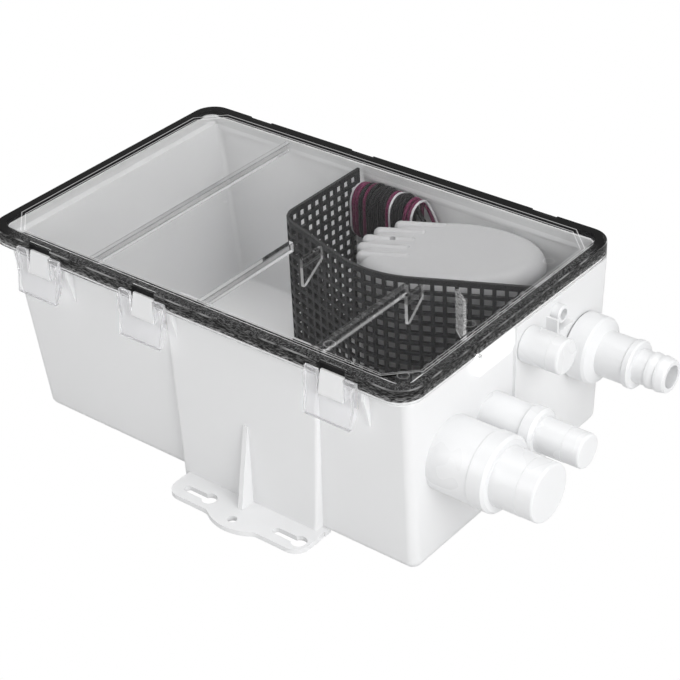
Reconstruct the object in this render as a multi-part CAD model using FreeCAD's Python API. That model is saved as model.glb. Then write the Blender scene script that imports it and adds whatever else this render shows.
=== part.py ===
import FreeCAD, Part
import math
import os

# Shower sump pump. A clear lid clips down on a white tank, a curved filter screen parts
# the tank in two, and a submersible pump lifts the filtered water out past a check valve.
# All sizes are in millimetres. The origin lies on the floor, under the middle of the lid.
# +X points to the wall with the hose tails, +Y to the pump's side, +Z up.

V = FreeCAD.Vector

# Lid: a flat rim with a skirt, and a bevel down to a sunken eight-sided panel
lid_length = 300.0
lid_width = 191.8
lid_corner_r = 14.0
lid_rim_top = 117.9
lid_rim_t = 1.9
skirt_h = 9.2
skirt_t = 1.8
lid_clearance = 0.3
rim_band_end = 6.5
rim_band_long = 7.55
panel_chamfer = 15.15
bevel_w = 3.85
panel_sink = 1.2
panel_t = 2.0
lid_edge_r = 1.2

# Ribs and fins under the lid
rib_t = 3.0
rib_drop = 5.7
rib_first_x = -76.5
rib_pitch = 80.0
rib_end_y = -8.0
fin_t = 2.0
fin_long = 17.7
fin_short = 7.7
fin_a_x = 20.3
fin_b_x = 90.6
fin_c_x = 114.0
fin_a_ys = (-19.7, -2.4)
fin_b_ys = (-17.7, -3.5)
fin_c_y = -0.8
fin_c_turn = -37.0
fin_c_w = 13.0
fin_c_drop = 25.7

# Lift tab on the end of the skirt, over the hose tails
tab_y = -20.5
tab_w = 35.0
tab_drop = 13.0
tab_t = 1.8
tab_corner_r = 5.0
tab_rib_t = 2.2
tab_rib_out = 2.4

# Spring clips along both long sides, and the hooks that they catch
clip_xs = (-106.3, -26.8, 103.2)
clip_w = 33.0
clip_foot_w = 30.0
clip_t = 2.0
clip_window_w = 17.0
clip_hook_gap = 0.3
clip_bar_h = 1.2
clip_lip_h = 10.8
clip_lip_out = 4.2
clip_edge_rib = 2.2
clip_edge_out = 1.4
clip_root_gap = 0.05
clip_root_drop = 4.3
hook_w = 16.0
hook_up = 3.2
hook_under_skirt = 9.1
hook_top_t = 1.4
hook_reach = 2.2
hook_tip = 0.8
guard_t = 2.0
guard_out = 4.0
guard_h = 21.0
guard_gap = 0.4

# Gasket between the tank's rim and the lid's rim, and the tank's lip inside it
gasket_under_rim = 0.2
gasket_inner_r = 6.0
gasket_h = 6.3
gasket_side_gap = 0.3
lip_t = 1.5
lip_up = 5.2

# Tank
tank_wall = 2.5
tank_floor = 3.0
rim_t = 3.0
wall_inset_side = 5.4
wall_inset_left = 11.0
wall_inset_port = 3.0
draft_side = 3.1
draft_left = 12.9
draft_port = 1.0
tank_corner_r = 5.5
tank_bottom_r = 5.0
tank_inner_r = 2.0

# The pump's half of the port wall leans out, so a wedge-shaped step runs down its middle
lean_y = 0.0
lean_top = 2.6
lean_top_z = 108.0

# Hollow bulges in both long walls, each over a foot
bulge_left_top = -16.5
bulge_left_bottom = -12.0
bulge_right_top = 90.0
bulge_right_bottom = 84.0
bulge_y = 93.0
bulge_lean_in = 1.4
bulge_rim_gap = 0.1
bulge_corner_r = 2.0

# Feet, each with two keyholes, a round hole and a gusset
foot_x = 40.25
foot_length = 96.5
foot_out = 20.3
foot_t = 3.0
foot_corner_r = 9.0
foot_lobe_half = 17.0
foot_lobe_out = 5.6
foot_lobe_blend = 6.0
keyhole_x = 17.8
keyhole_pitch = 64.1
keyhole_out = 12.0
keyhole_r = 4.5
keyhole_slot_r = 2.5
keyhole_run = 15.3
foot_hole_out = 18.5
foot_hole_r = 2.75
gusset_x = 38.0
gusset_t = 3.0
gusset_h = 50.0
gusset_out = 9.6

# Filter screen: one moulded sheet that bends round the pump's side of the tank
screen_t = 1.8
screen_lid_gap = 1.3
screen_floor_gap = 0.5
screen_far_x = -21.5
screen_end_gap = 0.8
screen_bend = (-21.5, 14.0)
screen_bend_r = 13.0
screen_knee = (58.0, -10.0)
screen_knee_r = 60.0
screen_port_y = 30.5
screen_columns = 31
screen_rows = 13
screen_bar = 2.3
screen_border = 3.4
guide_t = 2.0
guide_w = 6.0
guide_gap = 0.3
guide_top_gap = 18.0

# Large inlet tail
large_y = -57.0
large_z = 60.5
large_r = 20.8
large_bore = 17.8
large_shoulder_x = 171.0
large_collar_r = 21.3
large_collar_w = 11.0
large_neck_r = 16.4
large_neck_bore = 13.0
large_neck_x = 197.5
large_end_x = 208.0

# Medium inlet tail
medium_y = -20.2
medium_z = 64.0
medium_r = 12.4
medium_bore = 9.8
medium_shoulder_x = 171.5
medium_collar_r = 13.7
medium_collar_w = 8.3
medium_neck_r = 9.9
medium_neck_bore = 6.6
medium_neck_x = 196.0
medium_end_x = 207.0

# Small inlet tail
small_y = 10.5
small_rim_gap = 14.4
small_r = 10.2
small_seat_r = 9.7
small_bore = 6.8
small_neck_x = 166.0
small_end_x = 173.5

# Caps that close the inlets
cap_wall = 2.0
cap_under = 0.2
cap_edge_r = 1.2
cap_fit = 0.06

# How the tails pass through the wall
tail_flange_out = 1.6
tail_flange_t = 2.0
tail_flange_gap = 0.35
tail_fit = 0.05

# Outlet with its check valve
outlet_y = 63.3
outlet_z = 63.8
valve_r = 19.4
valve_wall = 2.4
valve_x = 161.0
valve_neck_r = 13.0
valve_neck_x = 165.5
valve_end_x = 182.0
valve_spigot_r = 11.4
valve_back_t = 2.4
seat_t = 2.0
seat_bore = 8.2
flap_r = 10.4
flap_t = 1.6
flap_gap = 0.3
flap_pin_r = 1.1
flap_pin_up = 12.6
flap_pin_out = 1.9
flap_knuckle_t = 0.6
flap_pin_half = 6.6
flap_ear_t = 1.8
flap_ear_gap = 0.3
flap_pin_fit = 0.06

# Hose barb of the outlet
barb_collar_r = 13.9
barb_collar_w = 4.6
barb_r = 9.6
barb_crest = 0.7
barb_bore = 6.7
barb_end_x = 206.4
barb_crests = 2
barb_pitch = 5.6
barb_land = 1.6

# Cable outlet tube and the drip ledge under it
cable_y = 36.0
cable_rim_gap = 7.6
cable_r = 5.1
cable_bore = 3.2
cable_end_x = 154.8
ledge_t = 1.6
ledge_out = 7.0
ledge_side_y = 27.5
ledge_w = 16.0
ledge_drop = 7.2
ledge_up = 8.0

# Pump housing, an oval shell that stands turned in the tank on a slotted base
pump_x = 75.0
pump_y = 44.2
pump_turn = 28.0
pump_a = 53.0
pump_b = 37.0
pump_end_r = 29.0
pump_wall = 2.2
pump_base_in = 2.0
pump_base_h = 21.0
pump_floor_gap = 0.1
pump_lid_gap = 6.7
pump_shoulder_r = 9.5
bulkhead_t = 3.0
grip_vs = (-8.5, 0.5, 9.5, 18.5, 27.0, 34.0)
grip_r = 3.6
grip_length = 24.0
grip_proud = 0.9
grip_edge_gap = 3.2
vent_u = -34.0
vent_v = 8.0
vent_r = 1.6
vent_depth = 1.2
gland_u = -14.0
gland_drop = 22.0
gland_r = 4.2
gland_out = 3.0

# Slots of the base, and its two screw lugs
base_slots = 22
base_slot_w = 3.4
base_slot_h = 12.0
base_slot_z = 7.0
base_top_t = 2.0
lug_r = 6.0
lug_t = 3.0
screw_r = 1.9
screw_head_r = 3.8
screw_head_h = 2.4
screw_sink = 2.2
lug_out = 4.6

# Volute and impeller
motor_x = 70.6
motor_y = 42.0
volute_r = 27.0
volute_wall = 2.0
volute_z = 4.6
volute_shaft_gap = 1.2
eye_r = 8.5
nozzle_r = 9.4
nozzle_z = 13.2
nozzle_end_x = 94.0
nozzle_gap = 0.3
impeller_r = 20.5
impeller_z = 8.4
impeller_disc_t = 1.6
impeller_vane_h = 7.0
impeller_vane_t = 1.6
impeller_vanes = 5
impeller_hub_r = 4.4
vane_arc_r = 15.0

# Pipe from the volute up and out through the housing, with its rubber sleeve
elbow_r = 7.6
elbow_bore = 6.0
elbow_bend_r = 12.0
elbow_x = 106.0
elbow_plug = 6.0
elbow_end_x = 134.0
elbow_hole_gap = 0.5
sleeve_x = 128.0
sleeve_end_x = 141.0
sleeve_t = 2.2
sleeve_fit = 0.03
spigot_x = 135.0
elbow_fit = 0.05

# Motor
can_r = 20.0
can_wall = 1.2
can_z = 29.0
can_h = 56.0
endplate_t = 2.0
magnet_t = 3.6
magnet_h = 31.5
magnet_turn = 120.0
air_gap = 0.8
armature_h = 30.0
armature_slots = 7
slot_w = 2.4
slot_depth = 6.0
shaft_r = 1.6
shaft_low = 6.6
commutator_r = 5.6
commutator_h = 8.0
commutator_gap = 0.5
brush_w = 4.0
brush_h = 5.0
bearing_r = 4.0
bearing_h = 4.0
bearing_fit = 0.05
seal_r = 5.5
seal_h = 2.9
seal_fit = 0.05

# Float switch inside the housing, in the pump's own turned frame
float_u = -39.5
float_z = 40.0
float_w = 22.0
float_l = 14.0
float_h = 12.0
float_arm_t = 2.4
float_arm_w = 6.0
pivot_r = 1.2
pivot_u = -28.6
pivot_fit = 0.05
bracket_gap = 0.4
bracket_t = 1.8
bracket_half = 2.0
switch_w = 12.0
switch_l = 12.0
switch_h = 9.0
switch_gap = 9.0
switch_post_gap = 2.0
switch_post_w = 4.0
switch_post_t = 3.0

# Pump lead: a short free run from the gland to two standing hanks of coiled wire
lead_r = 2.4
lead_bend_share = 0.45
hank_wall_gap = 0.3
hank_lid_gap = 3.7
hank_half_y = 9.8
hank_half_z = 19.5
hank_left_x = -18.0
hank_left_w = 29.8
hank_right_x = 12.2
hank_right_w = 17.8
hank_end_r = 3.0


# Sizes that follow from the values above

half_l = lid_length / 2
half_w = lid_width / 2
skirt_bottom = lid_rim_top - skirt_h
rim_under_lid = lid_rim_top - lid_rim_t
rim_top = rim_under_lid - gasket_h - 0.1
rim_bottom = rim_top - rim_t
rim_x = half_l - skirt_t - lid_clearance
rim_y = half_w - skirt_t - lid_clearance
rim_r = lid_corner_r - skirt_t - lid_clearance
wall_left_top = -half_l + wall_inset_left
wall_port_top = half_l - wall_inset_port
wall_side_top = half_w - wall_inset_side
panel_x = half_l - rim_band_end
panel_y = half_w - rim_band_long
panel_top = lid_rim_top - panel_sink
panel_under = panel_top - panel_t
clip_root_z = lid_rim_top - clip_root_drop
hook_low = skirt_bottom - hook_under_skirt
gasket_in_x = panel_x + gasket_under_rim
gasket_in_y = panel_y + gasket_under_rim
lip_x = gasket_in_x - gasket_side_gap - lip_t
lip_y = gasket_in_y - gasket_side_gap - lip_t
bulge_top_z = rim_bottom - bulge_rim_gap
screen_top = panel_under - screen_lid_gap
small_z = rim_bottom - small_rim_gap
cable_z = rim_bottom - cable_rim_gap
pump_foot = tank_floor + pump_floor_gap
pump_seam = pump_foot + pump_base_h
pump_top = panel_under - pump_lid_gap
gland_z = pump_top - gland_drop
upper_bearing_z = can_z + can_h - can_wall - bearing_h
commutator_z = upper_bearing_z - commutator_gap - commutator_h
hank_y = lip_y - hank_wall_gap - hank_half_y
hank_z = panel_under - hank_lid_gap - hank_half_z


def box(x0, x1, y0, y1, z0, z1):
    """A box between two corners."""
    return Part.makeBox(x1 - x0, y1 - y0, z1 - z0, V(x0, y0, z0))


def polygon(points, z=0.0):
    """A closed wire through flat points at one height."""
    corners = [V(p[0], p[1], z) for p in points]
    return Part.makePolygon(corners + corners[:1])


def prism(wire, height):
    """A wire's face raised straight up."""
    return Part.Face(wire).extrude(V(0, 0, height))


def rounded_rect(x0, x1, y0, y1, r, z):
    """A rectangle with four equal round corners, as a wire at one height."""
    k = r * (1 - math.sqrt(0.5))
    edges = [
        Part.LineSegment(V(x0 + r, y0, z), V(x1 - r, y0, z)),
        Part.Arc(V(x1 - r, y0, z), V(x1 - k, y0 + k, z), V(x1, y0 + r, z)),
        Part.LineSegment(V(x1, y0 + r, z), V(x1, y1 - r, z)),
        Part.Arc(V(x1, y1 - r, z), V(x1 - k, y1 - k, z), V(x1 - r, y1, z)),
        Part.LineSegment(V(x1 - r, y1, z), V(x0 + r, y1, z)),
        Part.Arc(V(x0 + r, y1, z), V(x0 + k, y1 - k, z), V(x0, y1 - r, z)),
        Part.LineSegment(V(x0, y1 - r, z), V(x0, y0 + r, z)),
        Part.Arc(V(x0, y0 + r, z), V(x0 + k, y0 + k, z), V(x0 + r, y0, z)),
    ]
    return Part.Wire([e.toShape() for e in edges])


def loft(wires):
    """A solid with straight sides through the wires."""
    return Part.makeLoft(wires, True, True)


def cylinder(r, h, x, y, z, axis=V(0, 0, 1)):
    """A cylinder from a point along an axis."""
    return Part.makeCylinder(r, h, V(x, y, z), axis)


def turned_x(profile, y, z):
    """A profile of (x, radius) points turned about a line along X."""
    face = Part.Face(polygon(profile))
    solid = face.revolve(V(0, 0, 0), V(1, 0, 0), 360)
    solid.translate(V(0, y, z))
    return solid


def turned_z(profile, x, y):
    """A profile of (radius, z) points turned about an upright line."""
    corners = [V(p[0], 0, p[1]) for p in profile]
    face = Part.Face(Part.makePolygon(corners + corners[:1]))
    solid = face.revolve(V(0, 0, 0), V(0, 0, 1), 360)
    solid.translate(V(x, y, 0))
    return solid


def side_profile(points, x0, x1):
    """A profile of (y, z) points pushed along X."""
    corners = [V(x0, p[0], p[1]) for p in points]
    return Part.Face(Part.makePolygon(corners + corners[:1])).extrude(V(x1 - x0, 0, 0))


def join(first, others):
    """One solid from pieces that touch."""
    return first.fuse(others).removeSplitter()


def save(name, shape):
    """Write one node."""
    shape.exportStep("parts/" + name + ".step")
    print(name, len(shape.Solids), round(shape.Volume, 1), shape.isValid())


# Tank walls

def tank_sides(z, inset=0.0):
    """Left, port and side positions of the drafted walls at a height."""
    k = 1 - z / rim_bottom
    left = wall_left_top + draft_left * k + inset
    port = wall_port_top - draft_port * k - inset
    side = wall_side_top - draft_side * k - inset
    return left, port, side


def lean_at(z):
    """How far the pump's half of the port wall stands out at a height."""
    return lean_top * z / lean_top_z


def port_wall_x(y, z, inset=0.0):
    """The port wall's outer face at a place on it."""
    x = tank_sides(z, inset)[1]
    return x + (lean_at(z) if y > lean_y else 0.0)


def tank_body(z0, z1, inset, r, leaning=False):
    """The drafted box of the walls between two heights."""
    wires = []
    for z in (z0, z1):
        left, port, side = tank_sides(z, inset)
        port += lean_at(z) if leaning else 0.0
        wires.append(rounded_rect(left, port, -side, side, r, z))
    return loft(wires)


def bulge(inset, z0, z1, side):
    """The bulge in one long wall, as a solid that reaches back into the tank."""
    wires = []
    for z in (z0, z1):
        k = z / bulge_top_z
        x0 = bulge_left_bottom + (bulge_left_top - bulge_left_bottom) * k + inset
        x1 = bulge_right_bottom + (bulge_right_top - bulge_right_bottom) * k - inset
        y = bulge_y - bulge_lean_in * k - inset
        ends = sorted((side * (wall_side_top - 25), side * y))
        wires.append(rounded_rect(x0, x1, ends[0], ends[1], bulge_corner_r, z))
    return loft(wires)


def rounded_below(solid, z, r):
    """A solid with its bottom edges at a height rounded."""
    return solid.makeFillet(r, [e for e in solid.Edges if e.BoundBox.ZMax < z + 0.01])


def tank_outside():
    """The outer form of the walls, with the leaning half and the bulges."""
    near = rounded_below(tank_body(0, rim_bottom + 1, 0, tank_corner_r), 0, tank_bottom_r)
    near = near.common(box(-half_l, half_l + 20, -half_w, lean_y, 0, rim_bottom + 1))
    far = rounded_below(tank_body(0, rim_bottom + 1, 0, tank_corner_r, True), 0, tank_bottom_r)
    far = far.common(box(-half_l, half_l + 20, lean_y, half_w, 0, rim_bottom + 1))
    return near.fuse([far] + [bulge(0, 0, bulge_top_z, s) for s in (-1, 1)])


def tank_hollow():
    """The space inside the walls."""
    main = tank_body(tank_floor, rim_top + 1, tank_wall, tank_corner_r - tank_wall)
    main = rounded_below(main, tank_floor, tank_inner_r)
    lean = tank_body(tank_floor, lean_top_z - tank_wall, tank_wall, tank_corner_r - tank_wall, True)
    lean = lean.common(box(0, half_l + 20, lean_y + tank_wall, half_w, 0, lean_top_z))
    top = bulge_top_z - tank_wall
    pockets = [bulge(tank_wall, tank_floor, top, s) for s in (-1, 1)]
    return main.fuse([lean] + pockets)


def tank_rim():
    """The flange round the top that carries the gasket, before it is hollowed."""
    return prism(rounded_rect(-rim_x, rim_x, -rim_y, rim_y, rim_r, rim_bottom), rim_t)


def gasket_seat():
    """The shelf under the gasket and the lip that stands inside it."""
    ring = prism(rounded_rect(-rim_x, rim_x, -rim_y, rim_y, rim_r, rim_bottom), rim_t)
    x, y = lip_x + lip_t, lip_y + lip_t
    r = gasket_inner_r - gasket_side_gap
    ring = ring.fuse(prism(rounded_rect(-x, x, -y, y, r, rim_top - 1), lip_up + 1))
    inside = rounded_rect(-lip_x, lip_x, -lip_y, lip_y, r - lip_t, rim_bottom - 1)
    return ring.cut(prism(inside, rim_t + lip_up + 2))


def hook(x, side):
    """One hook that a clip catches: it fills the lid's notch and slopes out to its catch."""
    top = rim_top + hook_up
    tip = half_w + hook_reach
    root = wall_side_top - tank_wall / 2 - draft_side * 0.2
    points = [(root, rim_bottom + 1), (rim_y, rim_bottom + 1), (rim_y, top), (rim_y + hook_top_t, top)]
    points += [(tip, hook_low + hook_tip), (tip, hook_low), (root, hook_low)]
    return side_profile([(side * p[0], p[1]) for p in points], x - hook_w / 2, x + hook_w / 2)


def guard(x, side):
    """The thin rib that stands beside a clip."""
    mid = x + clip_w / 2 + guard_gap + guard_t / 2
    top = rim_bottom
    low = top - guard_h
    root = wall_side_top - tank_wall / 2 - draft_side * 0.2
    face = wall_side_top + guard_out
    points = [(root, top), (rim_y, top), (face, top - 4), (wall_side_top, low), (root, low)]
    points = [(side * p[0], p[1]) for p in points]
    return side_profile(points, mid - guard_t / 2, mid + guard_t / 2)


def foot(side):
    """One foot: a flange with a lobe, two keyholes, a round hole and a gusset."""
    x0 = foot_x - foot_length / 2
    x1 = foot_x + foot_length / 2
    back = wall_side_top - draft_side - tank_wall / 2
    edge = bulge_y + foot_out
    ends = sorted((side * back, side * edge))
    plate = prism(rounded_rect(x0, x1, ends[0], ends[1], foot_corner_r, 0), foot_t)
    square = sorted((side * back, side * (bulge_y - 2)))
    plate = plate.fuse(box(x0 + foot_corner_r, x1, square[0], square[1], 0, foot_t))
    lobe_r = (foot_lobe_half ** 2 + foot_lobe_out ** 2) / (2 * foot_lobe_out)
    lobe = cylinder(lobe_r, foot_t, foot_x, side * (edge + foot_lobe_out - lobe_r), 0)
    strip = sorted((side * (edge - 4), side * (edge + foot_lobe_out + 1)))
    lobe = lobe.common(box(x0, x1, strip[0], strip[1], 0, foot_t))
    plate = plate.fuse(lobe).removeSplitter()
    inner = [e for e in plate.Edges if lobe_corner(e, side * edge)]
    plate = plate.makeFillet(foot_lobe_blend, inner)
    for i in range(2):
        plate = plate.cut(keyhole(keyhole_x + i * keyhole_pitch, side * (bulge_y + keyhole_out)))
    plate = plate.cut(cylinder(foot_hole_r, foot_t, foot_x, side * (bulge_y + foot_hole_out), 0))
    return plate


def lobe_corner(edge, y):
    """Whether an edge is an upright corner between the foot's edge and its lobe."""
    b = edge.BoundBox
    upright = b.ZLength > foot_t / 2 and b.XLength < 0.01 and b.YLength < 0.01
    return upright and abs(b.Center.y - y) < 0.1 and abs(b.Center.x - foot_x) < foot_lobe_half + 1


def keyhole(x, y):
    """A round hole for a screw head with a slot for its shank."""
    hole = cylinder(keyhole_r, foot_t, x, y, 0)
    end = cylinder(keyhole_slot_r, foot_t, x - keyhole_run, y, 0)
    slot = box(x - keyhole_run, x, y - keyhole_slot_r, y + keyhole_slot_r, 0, foot_t)
    return hole.fuse([end, slot]).removeSplitter()


def gusset(side):
    """The web between the foot and the bulge."""
    root = bulge_y - bulge_lean_in - tank_wall / 2
    points = [(root, 1), (bulge_y + gusset_out, 1), (bulge_y + gusset_out, foot_t)]
    points += [(bulge_y, foot_t + gusset_h), (root, foot_t + gusset_h)]
    points = [(side * p[0], p[1]) for p in points]
    return side_profile(points, gusset_x - gusset_t / 2, gusset_x + gusset_t / 2)


def drip_ledge():
    """The small L-shaped ledge under the cable tube."""
    x0 = port_wall_x(cable_y, cable_z - ledge_drop, tank_wall / 2)
    x1 = port_wall_x(cable_y, cable_z) + ledge_out
    z = cable_z - ledge_drop
    shelf = box(x0, x1, ledge_side_y, ledge_side_y + ledge_w, z - ledge_t, z)
    upright = box(x0, x1, ledge_side_y, ledge_side_y + ledge_t, z - ledge_t, z + ledge_up)
    return [shelf, upright]


def screen_guides():
    """Two pairs of upright ribs that the screen's ends slide between."""
    start, end = screen_ends()
    z1 = rim_bottom - guide_top_gap
    step = screen_t / 2 + guide_gap
    out = []
    for point, heading in (start, end):
        along_x, along_y = math.cos(heading), math.sin(heading)
        for s in (-1, 1):
            a = s * step
            b = s * (step + guide_t)
            corners = []
            for run, off in ((-guide_w, a), (guide_w, a), (guide_w, b), (-guide_w, b)):
                x = point[0] + along_x * run - along_y * off
                y = point[1] + along_y * run + along_x * off
                corners.append((x, y))
            out.append(prism(polygon(corners, tank_floor - 1), z1 - tank_floor + 1))
    return out


def pump_point(u, v):
    """A place in the pump's turned frame, on the plan."""
    t = math.radians(pump_turn)
    return (pump_x + u * math.cos(t) - v * math.sin(t), pump_y + u * math.sin(t) + v * math.cos(t))


def set_pump(solid):
    """A solid moved from the pump's own frame into the tank."""
    solid.rotate(V(0, 0, 0), V(0, 0, 1), pump_turn)
    solid.translate(V(pump_x, pump_y, 0))
    return solid


def lug_us():
    """How far the base's two screws stand out along the pump's long axis."""
    reach = pump_a - pump_base_in + lug_out
    return (-reach, reach)


def tank_holes():
    """The bores of the tails, the valve and the cable tube through the port wall."""
    out = []
    for y, z, r in ((large_y, large_z, large_r), (medium_y, medium_z, medium_r),
                    (small_y, small_z, small_seat_r), (outlet_y, outlet_z, valve_spigot_r),
                    (cable_y, cable_z, cable_r)):
        x = port_wall_x(y, z)
        out.append(cylinder(r + tail_fit, 4 * tank_wall, x - 2 * tank_wall, y, z, V(1, 0, 0)))
    return out


def make_tank():
    """The whole tank."""
    solid = tank_outside()
    extras = [tank_rim()] + drip_ledge()
    for side in (-1, 1):
        extras += [foot(side), gusset(side)]
        for x in clip_xs:
            extras.append(hook(x, side))
            extras.append(guard(x, side))
    solid = solid.fuse(extras)
    solid = solid.cut(tank_hollow())
    limit = tank_body(0, rim_bottom, tank_wall / 2, tank_corner_r, False)
    lean = tank_body(0, lean_top_z, tank_wall / 2, tank_corner_r, True)
    lean = lean.common(box(0, half_l + 20, lean_y + tank_wall, half_w, 0, lean_top_z - 2))
    room = limit.fuse(lean)
    solid = solid.fuse([g.common(room) for g in screen_guides()] + [gasket_seat()])
    for u in lug_us():
        x, y = pump_point(u, 0)
        solid = solid.cut(cylinder(screw_r, screw_sink, x, y, tank_floor - screw_sink))
    for hole in tank_holes():
        solid = solid.cut(hole)
    return solid.removeSplitter()


# Filter screen

def path_pieces():
    """The screen's plan as straight runs and arcs: (kind, start, heading, length, radius)."""
    left = (screen_far_x, wall_side_top - draft_side - tank_wall - screen_end_gap)
    right_x = lip_x - screen_end_gap
    corners = [left, screen_bend, screen_knee, (right_x, screen_port_y)]
    radii = [screen_bend_r, screen_knee_r]
    pieces = []
    place = corners[0]
    for i in range(1, 3):
        before = heading_of(corners[i - 1], corners[i])
        after = heading_of(corners[i], corners[i + 1])
        turn = after - before
        trim = radii[i - 1] * math.tan(abs(turn) / 2)
        run = math.dist(place, corners[i]) - trim
        pieces.append(("line", place, before, run, 0.0))
        place = (place[0] + run * math.cos(before), place[1] + run * math.sin(before))
        pieces.append(("arc", place, before, radii[i - 1] * abs(turn), radii[i - 1] * turn / abs(turn)))
        place = (corners[i][0] + trim * math.cos(after), corners[i][1] + trim * math.sin(after))
    last = heading_of(corners[2], corners[3])
    pieces.append(("line", place, last, math.dist(place, corners[3]), 0.0))
    return pieces


def heading_of(a, b):
    """The direction from one flat point to another."""
    return math.atan2(b[1] - a[1], b[0] - a[0])


def path_at(pieces, s):
    """The place and heading at a distance along the plan."""
    for kind, start, heading, length, r in pieces:
        if s <= length + 1e-6:
            if kind == "line":
                x = start[0] + s * math.cos(heading)
                return (x, start[1] + s * math.sin(heading)), heading
            now = heading + s / r
            x = start[0] + r * (math.sin(now) - math.sin(heading))
            y = start[1] - r * (math.cos(now) - math.cos(heading))
            return (x, y), now
        s -= length
    return path_at(pieces[-1:], pieces[-1][3])


def screen_ends():
    """Both ends of the screen, each as its place and heading."""
    pieces = path_pieces()
    total = sum(p[3] for p in pieces)
    return path_at(pieces, 0), path_at(pieces, total)


def quad(a, b, c, d):
    """A flat four-sided face."""
    return Part.Face(Part.makePolygon([a, b, c, d, a]))


def screen_lines():
    """Where the sheet's folds stand, and the holes' share of each panel between them."""
    pieces = path_pieces()
    total = sum(p[3] for p in pieces)
    pitch = (total - 2 * screen_border + screen_bar) / screen_columns
    folds = [0.0]
    shares = []
    for i in range(screen_columns):
        hole0 = screen_border + i * pitch
        hole1 = hole0 + pitch - screen_bar
        end = hole1 + screen_bar / 2 if i < screen_columns - 1 else total
        length = end - folds[-1]
        shares.append(((hole0 - folds[-1]) / length, (hole1 - folds[-1]) / length))
        folds.append(end)
    places = [path_at(pieces, s) for s in folds]
    return places, shares


def screen_heights():
    """The bottom and top of each row of holes."""
    low = tank_floor + screen_floor_gap
    pitch = (screen_top - low - 2 * screen_border + screen_bar) / screen_rows
    rows = []
    for k in range(screen_rows):
        z = low + screen_border + k * pitch
        rows.append((z, z + pitch - screen_bar))
    return low, rows


def offset_point(place, heading, off):
    """A point beside the plan line."""
    return (place[0] - math.sin(heading) * off, place[1] + math.cos(heading) * off)


def between(a, b, k):
    """A point part of the way between two."""
    return (a[0] + (b[0] - a[0]) * k, a[1] + (b[1] - a[1]) * k)


def at(p, z):
    """A flat point raised to a height."""
    return V(p[0], p[1], z)


def make_screen():
    """The sheet, face by face: panels with square holes, the holes' walls and the edges."""
    places, shares = screen_lines()
    low, rows = screen_heights()
    front = [offset_point(p, h, screen_t / 2) for p, h in places]
    back = [offset_point(p, h, -screen_t / 2) for p, h in places]
    faces = []
    for i, (k0, k1) in enumerate(shares):
        holes = []
        for line in (front, back):
            a, b = line[i], line[i + 1]
            c, d = between(a, b, k0), between(a, b, k1)
            wires = [Part.makePolygon([at(a, low), at(b, low), at(b, screen_top),
                                       at(a, screen_top), at(a, low)])]
            for z0, z1 in rows:
                wires.append(Part.makePolygon([at(c, z0), at(c, z1), at(d, z1), at(d, z0), at(c, z0)]))
            faces.append(Part.Face(wires))
            holes.append((c, d))
        (c, d), (e, f) = holes
        for z0, z1 in rows:
            faces.append(quad(at(c, z0), at(d, z0), at(f, z0), at(e, z0)))
            faces.append(quad(at(c, z1), at(d, z1), at(f, z1), at(e, z1)))
            faces.append(quad(at(c, z0), at(c, z1), at(e, z1), at(e, z0)))
            faces.append(quad(at(d, z0), at(d, z1), at(f, z1), at(f, z0)))
    outline = front + back[::-1]
    faces.append(Part.Face(polygon(outline, low)))
    faces.append(Part.Face(polygon(outline, screen_top)))
    for i in (0, -1):
        a, b = front[i], back[i]
        faces.append(quad(at(a, low), at(b, low), at(b, screen_top), at(a, screen_top)))
    shell = Part.makeShell(faces)
    shell.sewShape()
    solid = Part.Solid(shell)
    if solid.Volume < 0:
        solid.reverse()
    return solid


# Lid, gasket and clips

def octagon(margin, z):
    """The bevel's eight-sided outline, moved in by a margin."""
    x, y = panel_x - margin, panel_y - margin
    cut = panel_chamfer - margin * (2 - math.sqrt(2))
    points = [(-x + cut, -y), (x - cut, -y), (x, -y + cut), (x, y - cut)]
    points += [(x - cut, y), (-x + cut, y), (-x, y - cut), (-x, -y + cut)]
    return polygon(points, z)


def lid_plate():
    """The rim with its skirt, the bevel and the sunken panel."""
    outer = prism(rounded_rect(-half_l, half_l, -half_w, half_w, lid_corner_r, skirt_bottom), skirt_h)
    top = [e for e in outer.Edges if e.BoundBox.ZMin > lid_rim_top - 0.01]
    outer = outer.makeFillet(lid_edge_r, top)
    x, y = half_l - skirt_t, half_w - skirt_t
    inner = rounded_rect(-x, x, -y, y, lid_corner_r - skirt_t, skirt_bottom)
    shell = outer.cut(prism(inner, skirt_h - lid_rim_t))
    shell = shell.fuse(loft([octagon(bevel_w, panel_under), octagon(0, rim_under_lid)]))
    return shell.cut(loft([octagon(bevel_w, panel_top), octagon(0, lid_rim_top)]))


def lid_ribs():
    """One full rib and two part ribs across the underside."""
    out = []
    reach = panel_y - bevel_w
    for i in range(3):
        x = rib_first_x + i * rib_pitch
        y1 = reach if i == 0 else rib_end_y
        out.append(box(x - rib_t / 2, x + rib_t / 2, -reach, y1, panel_under - rib_drop, panel_under + 0.5))
    return out


def lid_fins():
    """The fins that hang beside the filter screen."""
    out = []
    for x, (y0, y1) in ((fin_a_x, fin_a_ys), (fin_b_x, fin_b_ys)):
        points = [(y0, panel_under + 0.5), (y0, panel_under - fin_long)]
        points += [(y0 + 2, panel_under - fin_long), (y1, panel_under - fin_short)]
        points.append((y1, panel_under + 0.5))
        out.append(side_profile(points, x - fin_t / 2, x + fin_t / 2))
    blade = box(-fin_c_w / 2, fin_c_w / 2, -fin_t / 2, fin_t / 2,
                panel_under - fin_c_drop, panel_under + 0.5)
    blade.rotate(V(0, 0, 0), V(0, 0, 1), fin_c_turn)
    blade.translate(V(fin_c_x, fin_c_y, 0))
    out.append(blade)
    return out


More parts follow.
